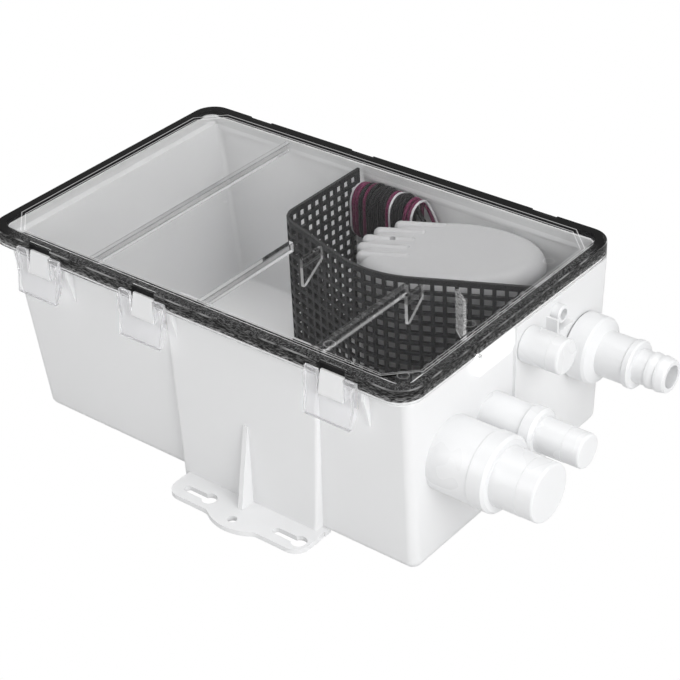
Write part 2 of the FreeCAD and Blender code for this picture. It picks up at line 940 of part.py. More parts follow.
def lift_tab():
    """The tab that hangs from the end of the skirt."""
    y0, y1 = tab_y - tab_w / 2, tab_y + tab_w / 2
    z0 = skirt_bottom - tab_drop
    plate = box(half_l - tab_t, half_l, y0, y1, z0, skirt_bottom + 1)
    lower = [e for e in plate.Edges if e.BoundBox.ZMax < z0 + 0.01 and e.BoundBox.YLength < 0.01]
    corners = [e for e in plate.Edges if e.BoundBox.XLength > 1 and e.BoundBox.ZMax < z0 + 0.01]
    plate = plate.makeFillet(tab_corner_r, corners or lower)
    rib = box(half_l - tab_t, half_l + tab_rib_out, y0, y0 + tab_rib_t, z0 + tab_corner_r, skirt_bottom + 2)
    return [plate, rib]


def make_lid():
    """The clear lid, with a notch through the rim's edge over each clip's window."""
    solid = lid_plate().fuse(lid_ribs() + lid_fins() + lift_tab())
    for side in (-1, 1):
        for x in clip_xs:
            ends = sorted((side * (half_w - skirt_t - 0.1), side * (half_w + 1)))
            solid = solid.cut(box(x - clip_window_w / 2, x + clip_window_w / 2, ends[0], ends[1],
                                  skirt_bottom - 1, lid_rim_top + 1))
    return solid.removeSplitter()


def make_gasket():
    """The square rubber ring on the tank's rim."""
    x, y = rim_x - gasket_side_gap, rim_y - gasket_side_gap
    outer = prism(rounded_rect(-x, x, -y, y, rim_r - gasket_side_gap, rim_top), gasket_h)
    x, y = gasket_in_x, gasket_in_y
    return outer.cut(prism(rounded_rect(-x, x, -y, y, gasket_inner_r, rim_top), gasket_h))


def make_clip(x, side):
    """One spring clip: two arms, a cross bar under the hook and a flared lip that narrows."""
    bar_top = hook_low - clip_hook_gap
    bar_low = bar_top - clip_bar_h
    lip_low = bar_low - clip_lip_h
    y0 = half_w + clip_root_gap
    y1 = y0 + clip_t
    points = [(y0, clip_root_z), (y1, clip_root_z), (y1, bar_low)]
    points += [(y1 + clip_lip_out, lip_low), (y0 + clip_lip_out, lip_low), (y0, bar_low)]
    points = [(side * p[0], p[1]) for p in points]
    body = side_profile(points, x - clip_w / 2, x + clip_w / 2)
    ends = sorted((side * (y0 - 1), side * (y1 + 1)))
    body = body.cut(box(x - clip_window_w / 2, x + clip_window_w / 2, ends[0], ends[1],
                        bar_top, clip_root_z + 1))
    ribs = []
    for s in (-1, 1):
        mid = x + s * (clip_w - clip_edge_rib) / 2
        rib = [(y1 - 0.5, clip_root_z - 1.5), (y1 + clip_edge_out, clip_root_z - 4)]
        rib += [(y1 + clip_edge_out, bar_low), (y1 + clip_lip_out, lip_low), (y1 - 0.5, bar_low)]
        rib = [(side * p[0], p[1]) for p in rib]
        ribs.append(side_profile(rib, mid - clip_edge_rib / 2, mid + clip_edge_rib / 2))
    whole = join(body, ribs)
    half, foot_half = clip_w / 2, clip_foot_w / 2
    outline = [V(x - half, 0, clip_root_z), V(x + half, 0, clip_root_z), V(x + half, 0, bar_top),
               V(x + foot_half, 0, lip_low), V(x - foot_half, 0, lip_low), V(x - half, 0, bar_top)]
    front = Part.Face(Part.makePolygon(outline + outline[:1]))
    return whole.common(front.extrude(V(0, side * (y1 + clip_lip_out + 1), 0)))


# Hose tails and their caps

def wall_start(y, z):
    """Where a tail starts, inside the tank behind its flange."""
    return port_wall_x(y, z, tank_wall) - tail_flange_t


def tail(y, z, r, bore, shoulder, collar_r, collar_w, neck_r, neck_bore, neck_x, end_x):
    """A stepped hose tail: flange, first hose size, collar, second hose size, cap spigot."""
    x0 = wall_start(y, z)
    x1 = x0 + tail_flange_t - tail_flange_gap
    spigot = neck_r - cap_under - cap_wall - cap_fit
    end = end_x - cap_wall - cap_fit
    outer = [(x0, r + tail_flange_out), (x1, r + tail_flange_out), (x1, r), (shoulder, r)]
    outer += [(shoulder + 1, collar_r), (shoulder + collar_w - 1.5, collar_r)]
    outer += [(shoulder + collar_w, collar_r - 1.5), (shoulder + collar_w, neck_r)]
    outer += [(neck_x, neck_r), (neck_x, spigot), (end, spigot)]
    inner = [(end, neck_bore), (shoulder + collar_w - 2, neck_bore), (shoulder + collar_w - 5, bore), (x0, bore)]
    return turned_x(outer + inner, y, z)


def small_tail():
    """The plain short tail: one hose size and the cap's spigot."""
    x0 = port_wall_x(small_y, small_z, tank_wall)
    x1 = port_wall_x(small_y, small_z + small_r) + 0.3
    spigot = small_r - cap_under - cap_wall - cap_fit
    end = small_end_x - cap_wall - cap_fit
    outer = [(x0, small_seat_r), (x1, small_seat_r), (x1, small_r)]
    outer += [(small_neck_x, small_r), (small_neck_x, spigot), (end, spigot)]
    return turned_x(outer + [(end, small_bore), (x0, small_bore)], small_y, small_z)


def cap(y, z, neck_r, neck_x, end_x):
    """A push-on cap with a rounded edge, a little thinner than its neck so that a hose passes."""
    r = neck_r - cap_under
    inside = r - cap_wall
    x0 = neck_x + cap_fit
    points = [(x0, inside), (x0, r), (end_x - cap_edge_r, r), (end_x - cap_edge_r * 0.3, r - cap_edge_r * 0.3)]
    points += [(end_x, r - cap_edge_r), (end_x, 0), (end_x - cap_wall, 0), (end_x - cap_wall, inside)]
    return turned_x(points, y, z)


# Outlet: check valve and barb

def valve_back_x():
    """The inner face of the valve housing's back wall."""
    return port_wall_x(outlet_y, outlet_z) + valve_back_t


def make_valve_housing():
    """The valve housing: inner spigot, round chamber, cone and neck."""
    x0 = port_wall_x(outlet_y, outlet_z, tank_wall) - 1
    wall_x = port_wall_x(outlet_y, outlet_z + valve_r) + 0.3
    w = valve_wall
    back = valve_back_x()
    outer = [(spigot_x, elbow_r), (x0, elbow_r), (x0, valve_spigot_r), (wall_x, valve_spigot_r)]
    outer += [(wall_x, valve_r - 1), (wall_x + 1, valve_r), (valve_x, valve_r)]
    outer += [(valve_x + 1.5, valve_r - 0.9), (valve_neck_x, valve_neck_r), (valve_end_x, valve_neck_r)]
    inner = [(valve_end_x, valve_neck_r - w), (valve_neck_x, valve_neck_r - w)]
    inner += [(valve_x, valve_r - w), (back, valve_r - w), (back, elbow_bore), (spigot_x, elbow_bore)]
    return turned_x(outer + inner, outlet_y, outlet_z)


def make_valve_seat():
    """The seat ring that the flap closes on, with two ears for the flap's pin."""
    x0 = valve_back_x() + 0.05
    x1 = x0 + seat_t
    r = valve_r - valve_wall - 0.05
    ring = turned_x([(x0, seat_bore), (x0, r), (x1, r), (x1, seat_bore)], outlet_y, outlet_z)
    ears = []
    pin_x = x1 + flap_gap + flap_pin_out
    for s in (-1, 1):
        ends = sorted((s * (flap_pin_half - flap_ear_t), s * flap_pin_half))
        ears.append(box(x1 - 0.2, pin_x + flap_pin_r + 1.2, outlet_y + ends[0], outlet_y + ends[1],
                        outlet_z + flap_pin_up - 2, outlet_z + flap_pin_up + 2.2))
    pin = cylinder(flap_pin_r + flap_pin_fit, 2 * flap_pin_half + 2, pin_x,
                   outlet_y - flap_pin_half - 1, outlet_z + flap_pin_up, V(0, 1, 0))
    return ring.fuse(ears).cut(pin).removeSplitter()


def make_flap():
    """The valve's flap, a disc on a knuckle with its pin."""
    x0 = valve_back_x() + 0.05 + seat_t + flap_gap
    x = x0 + flap_pin_out
    z = outlet_z + flap_pin_up
    inside = flap_pin_half - flap_ear_t - flap_ear_gap
    disc = cylinder(flap_r, flap_t, x0, outlet_y, outlet_z, V(1, 0, 0))
    strap = box(x0, x0 + flap_t, outlet_y - inside, outlet_y + inside, outlet_z + flap_r * 0.6, z)
    knuckle = cylinder(flap_pin_r + flap_knuckle_t, 2 * inside, x, outlet_y - inside, z, V(0, 1, 0))
    pin = cylinder(flap_pin_r, 2 * flap_pin_half, x, outlet_y - flap_pin_half, z, V(0, 1, 0))
    return disc.fuse([strap, knuckle, pin]).removeSplitter()


def make_barb():
    """The outlet's hose barb with its collar."""
    x0 = valve_end_x + 0.05
    x1 = x0 + barb_collar_w
    inside = valve_neck_r - valve_wall - 0.06
    outer = [(x0 - 6, barb_bore), (x0 - 6, inside), (x0, inside), (x0, barb_collar_r - 0.8)]
    outer += [(x0 + 0.8, barb_collar_r), (x1 - 0.8, barb_collar_r), (x1, barb_collar_r - 0.8), (x1, barb_r)]
    first = barb_end_x - 1.0 - barb_crests * barb_pitch
    for i in range(barb_crests):
        a = first + i * barb_pitch
        outer += [(a, barb_r), (a + 0.4, barb_r + barb_crest), (a + 0.4 + barb_land, barb_r + barb_crest)]
        outer += [(a + barb_pitch, barb_r)]
    outer += [(barb_end_x, barb_r - 0.6), (barb_end_x, barb_bore)]
    return turned_x(outer, outlet_y, outlet_z)


def make_cable_tube():
    """The tube that the lead can leave by."""
    x0 = port_wall_x(cable_y, cable_z, tank_wall) - 1
    points = [(x0, cable_bore), (x0, cable_r), (cable_end_x - 0.6, cable_r)]
    points += [(cable_end_x, cable_r - 0.6), (cable_end_x, cable_bore)]
    return turned_x(points, cable_y, cable_z)


# Pump housing and base

def oval(inset, z):
    """The pump's plan in its own frame: an oval of four arcs that run into each other."""
    a, b, r = pump_a - inset, pump_b - inset, pump_end_r - inset
    e = a - r
    side_r = (e * e + b * b - r * r) / (2 * (b - r))
    c = side_r - b
    reach = math.hypot(e, c)
    tx, ty = e + r * e / reach, r * c / reach
    edges = [
        Part.Arc(V(tx, -ty, z), V(a, 0, z), V(tx, ty, z)),
        Part.Arc(V(tx, ty, z), V(0, b, z), V(-tx, ty, z)),
        Part.Arc(V(-tx, ty, z), V(-a, 0, z), V(-tx, -ty, z)),
        Part.Arc(V(-tx, -ty, z), V(0, -b, z), V(tx, -ty, z)),
    ]
    return Part.Wire([g.toShape() for g in edges])


def dome(inset, z0):
    """The housing's form: upright sides, a round shoulder and a flat crown."""
    top = pump_top - inset
    solid = prism(oval(inset, z0), top - z0)
    crown = [e for e in solid.Edges if e.BoundBox.ZMin > top - 0.01]
    return solid.makeFillet(pump_shoulder_r - inset, crown)


def oval_edge(v):
    """Where the plan's left side stands at a place across the pump."""
    for k in range(400):
        u = -pump_a + k * 0.25
        if oval_holds(u, v):
            return u
    return 0.0


def oval_holds(u, v):
    """Whether the plan holds a place in the pump's frame."""
    e = pump_a - pump_end_r
    side_r = (e * e + pump_b ** 2 - pump_end_r ** 2) / (2 * (pump_b - pump_end_r))
    c = side_r - pump_b
    if abs(u) > e and math.hypot(abs(u) - e, v) <= pump_end_r:
        return True
    return math.hypot(u, abs(v) + c) <= side_r and abs(u) <= e * (1 + pump_end_r / math.hypot(e, c))


def grips():
    """Round grip ribs on the housing's left shoulder."""
    out = []
    z = pump_top + grip_proud - grip_r
    for v in grip_vs:
        u = oval_edge(v) + grip_edge_gap
        out.append(cylinder(grip_r, grip_length, u, v, z, V(1, 0, 0)))
        out.append(Part.makeSphere(grip_r, V(u, v, z)))
        out.append(Part.makeSphere(grip_r, V(u + grip_length, v, z)))
    return out


def make_pump_housing():
    """The housing shell with its grips, vent, lead gland and outlet hole."""
    outer = dome(0, pump_seam)
    boss = cylinder(gland_r, gland_out + 5, gland_u, pump_b - 5, gland_z, V(0, 1, 0))
    solid = outer.fuse(grips() + [boss])
    solid = solid.cut(dome(pump_wall, pump_seam - 1))
    solid = solid.cut(cylinder(vent_r, vent_depth + 1, vent_u, vent_v, pump_top - vent_depth))
    solid = solid.cut(cylinder(lead_r, gland_out + 12, gland_u, pump_b - 10, gland_z, V(0, 1, 0)))
    solid = set_pump(solid)
    hole = cylinder(elbow_r + elbow_hole_gap, 40, elbow_x, outlet_y, outlet_z, V(1, 0, 0))
    return solid.cut(hole)


def make_bulkhead():
    """The plate that closes the housing and carries the motor."""
    plate = set_pump(prism(oval(pump_wall + 0.1, pump_seam), bulkhead_t))
    plate = plate.cut(cylinder(seal_r, bulkhead_t, motor_x, motor_y, pump_seam))
    return plate.cut(bent_tube(elbow_points(), elbow_r + elbow_fit, elbow_bend_r))


def make_pump_base():
    """The slotted strainer base, with a hole for the volute and two screw lugs."""
    height = pump_base_h - 0.1
    solid = prism(oval(pump_base_in, pump_foot), height)
    solid = solid.cut(prism(oval(pump_base_in + pump_wall, pump_foot), height - base_top_t))
    lugs = []
    for u in lug_us():
        lugs.append(cylinder(lug_r, lug_t, u, 0, pump_foot))
    inside = prism(oval(pump_base_in + pump_wall / 2, pump_foot), lug_t)
    solid = solid.fuse([lug.cut(inside) for lug in lugs])
    for u in lug_us():
        solid = solid.cut(cylinder(screw_r + 0.1, lug_t + 1, u, 0, pump_foot))
    solid = solid.cut(base_cuts())
    solid = set_pump(solid)
    solid = solid.cut(cylinder(volute_r + 0.1, pump_base_h, motor_x, motor_y, pump_foot + 1))
    nozzle = cylinder(nozzle_r + nozzle_gap, nozzle_end_x - motor_x + 1, motor_x, outlet_y, nozzle_z, V(1, 0, 0))
    solid = solid.cut(nozzle)
    return solid.cut(bent_tube(elbow_points(), elbow_r + elbow_hole_gap, elbow_bend_r)).removeSplitter()


def base_cuts():
    """The base's upright slots, spread round the plan and left out beside the lugs."""
    out = []
    a, b = pump_a - pump_base_in, pump_b - pump_base_in
    for i in range(base_slots):
        t = 2 * math.pi * (i + 0.5) / base_slots
        u, v = a * math.cos(t), b * math.sin(t)
        if abs(v) < lug_r + base_slot_w:
            continue
        slot = box(-8, 8, -base_slot_w / 2, base_slot_w / 2, base_slot_z, base_slot_z + base_slot_h)
        slot.rotate(V(0, 0, 0), V(0, 0, 1), math.degrees(math.atan2(a * v, b * u * b / a)))
        slot.translate(V(u, v, 0))
        out.append(slot)
    return out


def make_screws():
    """Two pan-head screws that hold the base down."""
    out = []
    for u in lug_us():
        x, y = pump_point(u, 0)
        z = pump_foot + lug_t + 0.05
        points = [(0, tank_floor - screw_sink + 0.1), (screw_r - 0.1, tank_floor - screw_sink + 0.1)]
        points += [(screw_r - 0.1, z), (screw_head_r, z), (screw_head_r, z + screw_head_h * 0.5)]
        points += [(screw_head_r * 0.6, z + screw_head_h), (0, z + screw_head_h)]
        screw = turned_z(points, x, y)
        for turn in (0, 90):
            slot = box(-screw_head_r * 0.6, screw_head_r * 0.6, -0.5, 0.5, z + screw_head_h * 0.5, z + 9)
            slot.rotate(V(0, 0, 0), V(0, 0, 1), turn)
            slot.translate(V(x, y, 0))
            screw = screw.cut(slot)
        out.append(screw)
    return Part.makeCompound(out)


# Volute, impeller and elbow

def make_volute():
    """The round volute casing with its eye and side nozzle."""
    top = pump_seam - 0.1
    x, y = motor_x, motor_y
    solid = cylinder(volute_r, top - volute_z, x, y, volute_z)
    solid = solid.fuse(cylinder(nozzle_r, nozzle_end_x - x, x, outlet_y, nozzle_z, V(1, 0, 0)))
    hollow = cylinder(volute_r - volute_wall, top - volute_z - 2 * volute_wall, x, y, volute_z + volute_wall)
    bore = cylinder(elbow_bore, nozzle_end_x - x + 1, x, outlet_y, nozzle_z, V(1, 0, 0))
    plug_x = nozzle_end_x - elbow_plug
    socket = cylinder(elbow_r + elbow_fit, elbow_plug + 1, plug_x, outlet_y, nozzle_z, V(1, 0, 0))
    eye = cylinder(eye_r, volute_wall + 1, x, y, volute_z - 0.5)
    seat = cylinder(shaft_r + volute_shaft_gap, volute_wall + 1, x, y, top - volute_wall - 0.5)
    return solid.cut(hollow.fuse([bore, socket, eye, seat])).removeSplitter()


def make_impeller():
    """A disc with curved vanes and a hub that sits on the shaft."""
    z = impeller_z
    disc = cylinder(impeller_r, impeller_disc_t, motor_x, motor_y, z + impeller_vane_h)
    hub = cylinder(impeller_hub_r, impeller_vane_h + impeller_disc_t + 2, motor_x, motor_y, z)
    vanes = []
    for i in range(impeller_vanes):
        ring = cylinder(vane_arc_r + impeller_vane_t, impeller_vane_h + 0.2, 0, vane_arc_r, z)
        ring = ring.cut(cylinder(vane_arc_r, impeller_vane_h + 0.2, 0, vane_arc_r, z))
        ring = ring.common(box(0, impeller_r + 5, -5, vane_arc_r + 1, z, z + impeller_vane_h + 0.2))
        ring.rotate(V(0, 0, 0), V(0, 0, 1), 360.0 * i / impeller_vanes)
        ring.translate(V(motor_x, motor_y, 0))
        vanes.append(ring)
    limit = cylinder(impeller_r, 30, motor_x, motor_y, z)
    solid = join(disc, [hub] + vanes).common(limit)
    return solid.cut(cylinder(shaft_r, 40, motor_x, motor_y, z - 5)).removeSplitter()


def bent_tube(points, r, bend_r):
    """A round solid along straight runs that tangent arcs join."""
    edges = []
    place = points[0]
    for before, corner, after in zip(points, points[1:], points[2:]):
        way_in = (corner - before).normalize()
        way_out = (after - corner).normalize()
        half = way_in.getAngle(way_out) / 2
        trim = bend_r * math.tan(half)
        first, last = corner - way_in * trim, corner + way_out * trim
        inward = (way_out - way_in).normalize()
        middle = corner + inward * (bend_r / math.cos(half) - bend_r)
        if (first - place).Length > 0.01:
            edges.append(Part.LineSegment(place, first).toShape())
        edges.append(Part.Arc(first, middle, last).toShape())
        place = last
    if (points[-1] - place).Length > 0.01:
        edges.append(Part.LineSegment(place, points[-1]).toShape())
    ring = Part.Wire([Part.Circle(points[0], points[1] - points[0], r).toShape()])
    return Part.Wire(edges).makePipeShell([ring], True, False)


def elbow_points():
    """The corners of the pipe's middle line."""
    y = outlet_y
    points = [V(nozzle_end_x - elbow_plug + 0.2, y, nozzle_z), V(elbow_x, y, nozzle_z)]
    return points + [V(elbow_x, y, outlet_z), V(elbow_end_x, y, outlet_z)]


def make_elbow():
    """The pipe from the volute's nozzle, up inside the housing and out to the sleeve."""
    outside = bent_tube(elbow_points(), elbow_r, elbow_bend_r)
    return outside.cut(bent_tube(elbow_points(), elbow_bore, elbow_bend_r))


def make_sleeve():
    """The rubber sleeve between the pump's pipe and the valve's spigot."""
    r = elbow_r + sleeve_fit
    points = [(sleeve_x, r), (sleeve_x, r + sleeve_t), (sleeve_end_x, r + sleeve_t), (sleeve_end_x, r)]
    return turned_x(points, outlet_y, outlet_z)


# Motor

def make_motor_can():
    """The steel can, open below, with a bearing seat on top."""
    outer = cylinder(can_r, can_h, motor_x, motor_y, can_z)
    solid = outer.cut(cylinder(can_r - can_wall, can_h - can_wall, motor_x, motor_y, can_z))
    seat = cylinder(bearing_r + 1.2, bearing_h, motor_x, motor_y, upper_bearing_z)
    solid = solid.fuse(seat)
    bore = cylinder(bearing_r + bearing_fit, bearing_h + can_wall - 0.8, motor_x, motor_y, upper_bearing_z)
    return solid.cut(bore).removeSplitter()


def make_end_plate():
    """The plate under the can, with the lower bearing's seat."""
    z = pump_seam + bulkhead_t + 0.05
    plate = cylinder(can_r, can_z - z - 0.05, motor_x, motor_y, z)
    seat = cylinder(bearing_r + 1.2, bearing_h, motor_x, motor_y, can_z - 0.1)
    plate = plate.fuse(seat)
    return plate.cut(cylinder(bearing_r + bearing_fit, bearing_h + 8, motor_x, motor_y, z - 1)).removeSplitter()


def make_magnets():
    """Two curved magnets inside the can."""
    r = can_r - can_wall - 0.05
    z = can_z + 10
    out = []
    for turn in (90 - magnet_turn / 2, 270 - magnet_turn / 2):
        arc = Part.makeCylinder(r, magnet_h, V(0, 0, z), V(0, 0, 1), magnet_turn)
        arc = arc.cut(cylinder(r - magnet_t, magnet_h, 0, 0, z))
        arc.rotate(V(0, 0, 0), V(0, 0, 1), turn)
        arc.translate(V(motor_x, motor_y, 0))
        out.append(arc)
    return Part.makeCompound(out)


def make_armature():
    """The slotted iron core."""
    r = can_r - can_wall - 0.05 - magnet_t - air_gap
    z = can_z + 11
    core = cylinder(r, armature_h, motor_x, motor_y, z)
    cuts = []
    for i in range(armature_slots):
        slot = box(r - slot_depth, r + 1, -slot_w / 2, slot_w / 2, z, z + armature_h)
        slot.rotate(V(0, 0, 0), V(0, 0, 1), 360.0 * i / armature_slots)
        slot.translate(V(motor_x, motor_y, 0))
        cuts.append(slot)
    core = core.cut(cuts)
    return core.cut(cylinder(shaft_r, armature_h, motor_x, motor_y, z))


def make_shaft():
    """The motor shaft, from the impeller to the upper bearing."""
    top = can_z + can_h - can_wall - 1.0
    return cylinder(shaft_r, top - shaft_low, motor_x, motor_y, shaft_low)


def make_commutator():
    """The commutator on the shaft."""
    ring = cylinder(commutator_r, commutator_h, motor_x, motor_y, commutator_z)
    return ring.cut(cylinder(shaft_r, commutator_h, motor_x, motor_y, commutator_z))


def make_brushes():
    """Two carbon brushes beside the commutator."""
    out = []
    z = commutator_z + (commutator_h - brush_h) / 2
    for s in (-1, 1):
        ends = sorted((s * (commutator_r + 0.3), s * (can_r - can_wall - 2.2)))
        out.append(box(motor_x + ends[0], motor_x + ends[1], motor_y - brush_w / 2,
                       motor_y + brush_w / 2, z, z + brush_h))
    return Part.makeCompound(out)


def make_brush_card():
    """The ring that holds the brushes in the can."""
    z = commutator_z + (commutator_h - brush_h) / 2 - 2.0
    ring = cylinder(can_r - can_wall - 0.05, 1.9, motor_x, motor_y, z)
    ring = ring.cut(cylinder(commutator_r + 1.5, 2, motor_x, motor_y, z))
    for s in (-1, 1):
        ends = sorted((s * (can_r - can_wall - 2.1), s * (can_r - can_wall - 0.6)))
        ring = ring.fuse(box(motor_x + ends[0], motor_x + ends[1], motor_y - brush_w / 2,
                             motor_y + brush_w / 2, z + 1, z + 2 + brush_h))
    return ring.removeSplitter()


def make_bearing(z):
    """One plain bearing bush."""
    bush = cylinder(bearing_r, bearing_h, motor_x, motor_y, z)
    return bush.cut(cylinder(shaft_r + bearing_fit, bearing_h, motor_x, motor_y, z))


def make_seal():
    """The lip seal round the shaft in the bulkhead."""
    z = pump_seam + 0.05
    ring = cylinder(seal_r - seal_fit, seal_h, motor_x, motor_y, z)
    return ring.cut(cylinder(shaft_r + bearing_fit, seal_h, motor_x, motor_y, z))


# Float switch

def make_float():
    """The float on its arm."""
    u0 = float_u - float_l / 2
    body = box(u0, u0 + float_l, -float_w / 2, float_w / 2, float_z, float_z + float_h)
    body = body.makeFillet(2.0, [e for e in body.Edges if e.BoundBox.ZLength > 1])
    z = float_z + float_h / 2
    arm = box(u0 + float_l - 1, pivot_u, -float_arm_w / 2, float_arm_w / 2,
              z - float_arm_t / 2, z + float_arm_t / 2)
    knuckle = cylinder(pivot_r + 1.1, float_arm_w, pivot_u, -float_arm_w / 2, z, V(0, 1, 0))
    solid = join(body, [arm, knuckle])
    pin = cylinder(pivot_r + pivot_fit, float_arm_w + 2, pivot_u, -float_arm_w / 2 - 1, z, V(0, 1, 0))
    return set_pump(solid.cut(pin))


def make_float_bracket():
    """The bracket that stands on the bulkhead and carries the float's pin."""
    z0 = pump_seam + bulkhead_t + 0.05
    z = float_z + float_h / 2
    inner = float_arm_w / 2 + bracket_gap
    outer = inner + bracket_t
    solid = box(pivot_u - bracket_half, pivot_u + bracket_half, -outer, outer, z0, z + 3)
    solid = solid.cut(box(pivot_u - bracket_half, pivot_u + bracket_half, -inner, inner, z0 + 2, z + 3))
    return set_pump(solid.cut(cylinder(pivot_r, 2 * outer, pivot_u, -outer, z, V(0, 1, 0))))


def make_float_pin():
    """The pin of the float's arm."""
    half = float_arm_w / 2 + bracket_gap + bracket_t
    return set_pump(cylinder(pivot_r, 2 * half, pivot_u, -half, float_z + float_h / 2, V(0, 1, 0)))


def make_switch():
    """The sealed switch over the float, on a post from the bulkhead."""
    z0 = pump_seam + bulkhead_t + 0.05
    z = float_z + float_h + switch_gap
    u0 = float_u - switch_l / 2
    body = box(u0, u0 + switch_l, -switch_w / 2, switch_w / 2, z, z + switch_h)
    v = float_w / 2 + switch_post_gap
    u1 = float_u + switch_l / 2
    post = box(u1 - switch_post_w, u1, v, v + switch_post_t, z0, z + switch_h)
    shelf = box(u1 - switch_post_w, u1, switch_w / 2 - 1, v + switch_post_t, z, z + switch_h)
    return set_pump(join(body, [post, shelf]))


# Pump lead

def make_hank(x, w):
    """The outer shape of one standing hank of wire."""
    flat = rounded_rect(-hank_half_z, hank_half_z, -hank_half_y, hank_half_y, hank_half_y - 0.1, 0)
    solid = prism(flat, w)
    ends = [e for e in solid.Edges if e.BoundBox.ZLength < 0.01]
    solid = solid.makeFillet(hank_end_r, ends)
    solid.rotate(V(0, 0, 0), V(0, 1, 0), 90)
    solid.translate(V(x, hank_y, hank_z))
    return solid


def make_lead():
    """The lead's free run, from inside the gland to the right-hand hank."""
    start = V(*pump_point(gland_u, pump_b - pump_wall - 2), gland_z)
    exit = V(*pump_point(gland_u, pump_b), gland_z)
    way = (exit - start).normalize()
    end = V(hank_right_x + hank_right_w, hank_y, gland_z)
    corner = start + way * ((end.y - start.y) / way.y)
    half = way.getAngle(V(-1, 0, 0)) / 2
    shorter = min((corner - start).Length, (end - corner).Length)
    return bent_tube([start, corner, end], lead_r - 0.05, lead_bend_share * shorter / math.tan(half))


def main():
    """Write every node."""
    os.makedirs("parts", exist_ok=True)
    save("sump_tank", make_tank())
    save("lid_gasket", make_gasket())
    save("clear_lid", make_lid())
    for side, name in ((-1, "near"), (1, "far")):
        for x, place in zip(clip_xs, ("left", "middle", "right")):
            save("lid_clip_" + name + "_" + place, make_clip(x, side))
    save("filter_screen", make_screen())
    save("inlet_tail_large", tail(large_y, large_z, large_r, large_bore, large_shoulder_x,
                                  large_collar_r, large_collar_w, large_neck_r,
                                  large_neck_bore, large_neck_x, large_end_x))
    save("inlet_tail_medium", tail(medium_y, medium_z, medium_r, medium_bore, medium_shoulder_x,
                                   medium_collar_r, medium_collar_w, medium_neck_r,
                                   medium_neck_bore, medium_neck_x, medium_end_x))
    save("inlet_tail_small", small_tail())
    save("inlet_cap_large", cap(large_y, large_z, large_neck_r, large_neck_x, large_end_x))
    save("inlet_cap_medium", cap(medium_y, medium_z, medium_neck_r, medium_neck_x, medium_end_x))
    save("inlet_cap_small", cap(small_y, small_z, small_r, small_neck_x, small_end_x))
    save("valve_housing", make_valve_housing())
    save("valve_seat", make_valve_seat())
    save("valve_flap", make_flap())
    save("outlet_barb", make_barb())
    save("cable_tube", make_cable_tube())
    save("pump_housing", make_pump_housing())
    save("pump_bulkhead", make_bulkhead())
    save("pump_base", make_pump_base())
    save("pump_base_screws", make_screws())
    save("volute_casing", make_volute())
    save("impeller", make_impeller())
    save("outlet_elbow", make_elbow())
    save("outlet_sleeve", make_sleeve())
    save("motor_can", make_motor_can())
    save("motor_end_plate", make_end_plate())
    save("motor_magnets", make_magnets())
    save("motor_armature", make_armature())
    save("motor_shaft", make_shaft())
    save("commutator", make_commutator())
    save("carbon_brushes", make_brushes())
    save("brush_card", make_brush_card())
    save("upper_bearing", make_bearing(upper_bearing_z))
    save("lower_bearing", make_bearing(can_z - 0.05))
    save("shaft_seal", make_seal())
    save("switch_float", make_float())
    save("float_bracket", make_float_bracket())
    save("float_pin", make_float_pin())
    save("float_switch", make_switch())
    save("lead_hank_left", make_hank(hank_left_x, hank_left_w))
    save("lead_hank_right", make_hank(hank_right_x, hank_right_w))
    save("pump_lead", make_lead())


main()
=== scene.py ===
import bpy
import math
import numpy as np
from mathutils import Matrix, Vector


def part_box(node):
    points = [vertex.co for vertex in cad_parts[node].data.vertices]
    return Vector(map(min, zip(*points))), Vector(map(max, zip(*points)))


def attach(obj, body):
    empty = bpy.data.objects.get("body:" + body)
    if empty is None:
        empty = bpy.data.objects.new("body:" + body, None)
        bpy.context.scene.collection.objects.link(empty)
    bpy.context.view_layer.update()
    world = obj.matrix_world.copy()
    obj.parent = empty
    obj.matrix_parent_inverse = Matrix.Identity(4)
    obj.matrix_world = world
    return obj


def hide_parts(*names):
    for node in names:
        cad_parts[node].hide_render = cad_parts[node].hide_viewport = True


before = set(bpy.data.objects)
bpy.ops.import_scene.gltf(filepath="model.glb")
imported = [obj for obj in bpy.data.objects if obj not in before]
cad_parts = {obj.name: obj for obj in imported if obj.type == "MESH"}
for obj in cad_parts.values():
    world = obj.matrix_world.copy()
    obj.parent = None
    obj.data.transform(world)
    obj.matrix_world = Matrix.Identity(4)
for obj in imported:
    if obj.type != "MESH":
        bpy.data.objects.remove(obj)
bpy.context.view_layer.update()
scene = bpy.context.scene
scene.view_settings.view_transform = "Standard"

# Camera
# It stands where the photograph was taken from: above the near right
# corner, with a long lens and almost no tilt.
look = bpy.data.cameras.new("photo_view")
look.sensor_width = 36.0
look.lens = 102.6
look.clip_start = 0.05
yaw, pitch, roll = -0.702, 0.569, -0.050
forward = Vector((math.sin(yaw) * math.cos(pitch), math.cos(yaw) * math.cos(pitch), -math.sin(pitch)))
level = Vector((math.cos(yaw), -math.sin(yaw), 0.0))
upright = level.cross(forward)
right = math.cos(roll) * level + math.sin(roll) * upright
up = -math.sin(roll) * level + math.cos(roll) * upright
camera = bpy.data.objects.new("photo_view", look)
aim = Vector((0.023231, 0.006422, 0.050))
distance = 1.1095
turn = Matrix((right, up, -forward)).transposed()
camera.matrix_world = Matrix.Translation(aim - forward * distance) @ turn.to_4x4()
scene.collection.objects.link(camera)
scene.camera = camera

# Floor and light
# A wide pale sheet and a white room, with one large soft lamp above,
# a wide fill from the left and a low one from the right.
white = (1.0, 1.0, 1.0, 1.0)
black = (0.0, 0.0, 0.0, 1.0)
room_light = 0.42
floor_reach = 4.0
floor_drop = 0.0004


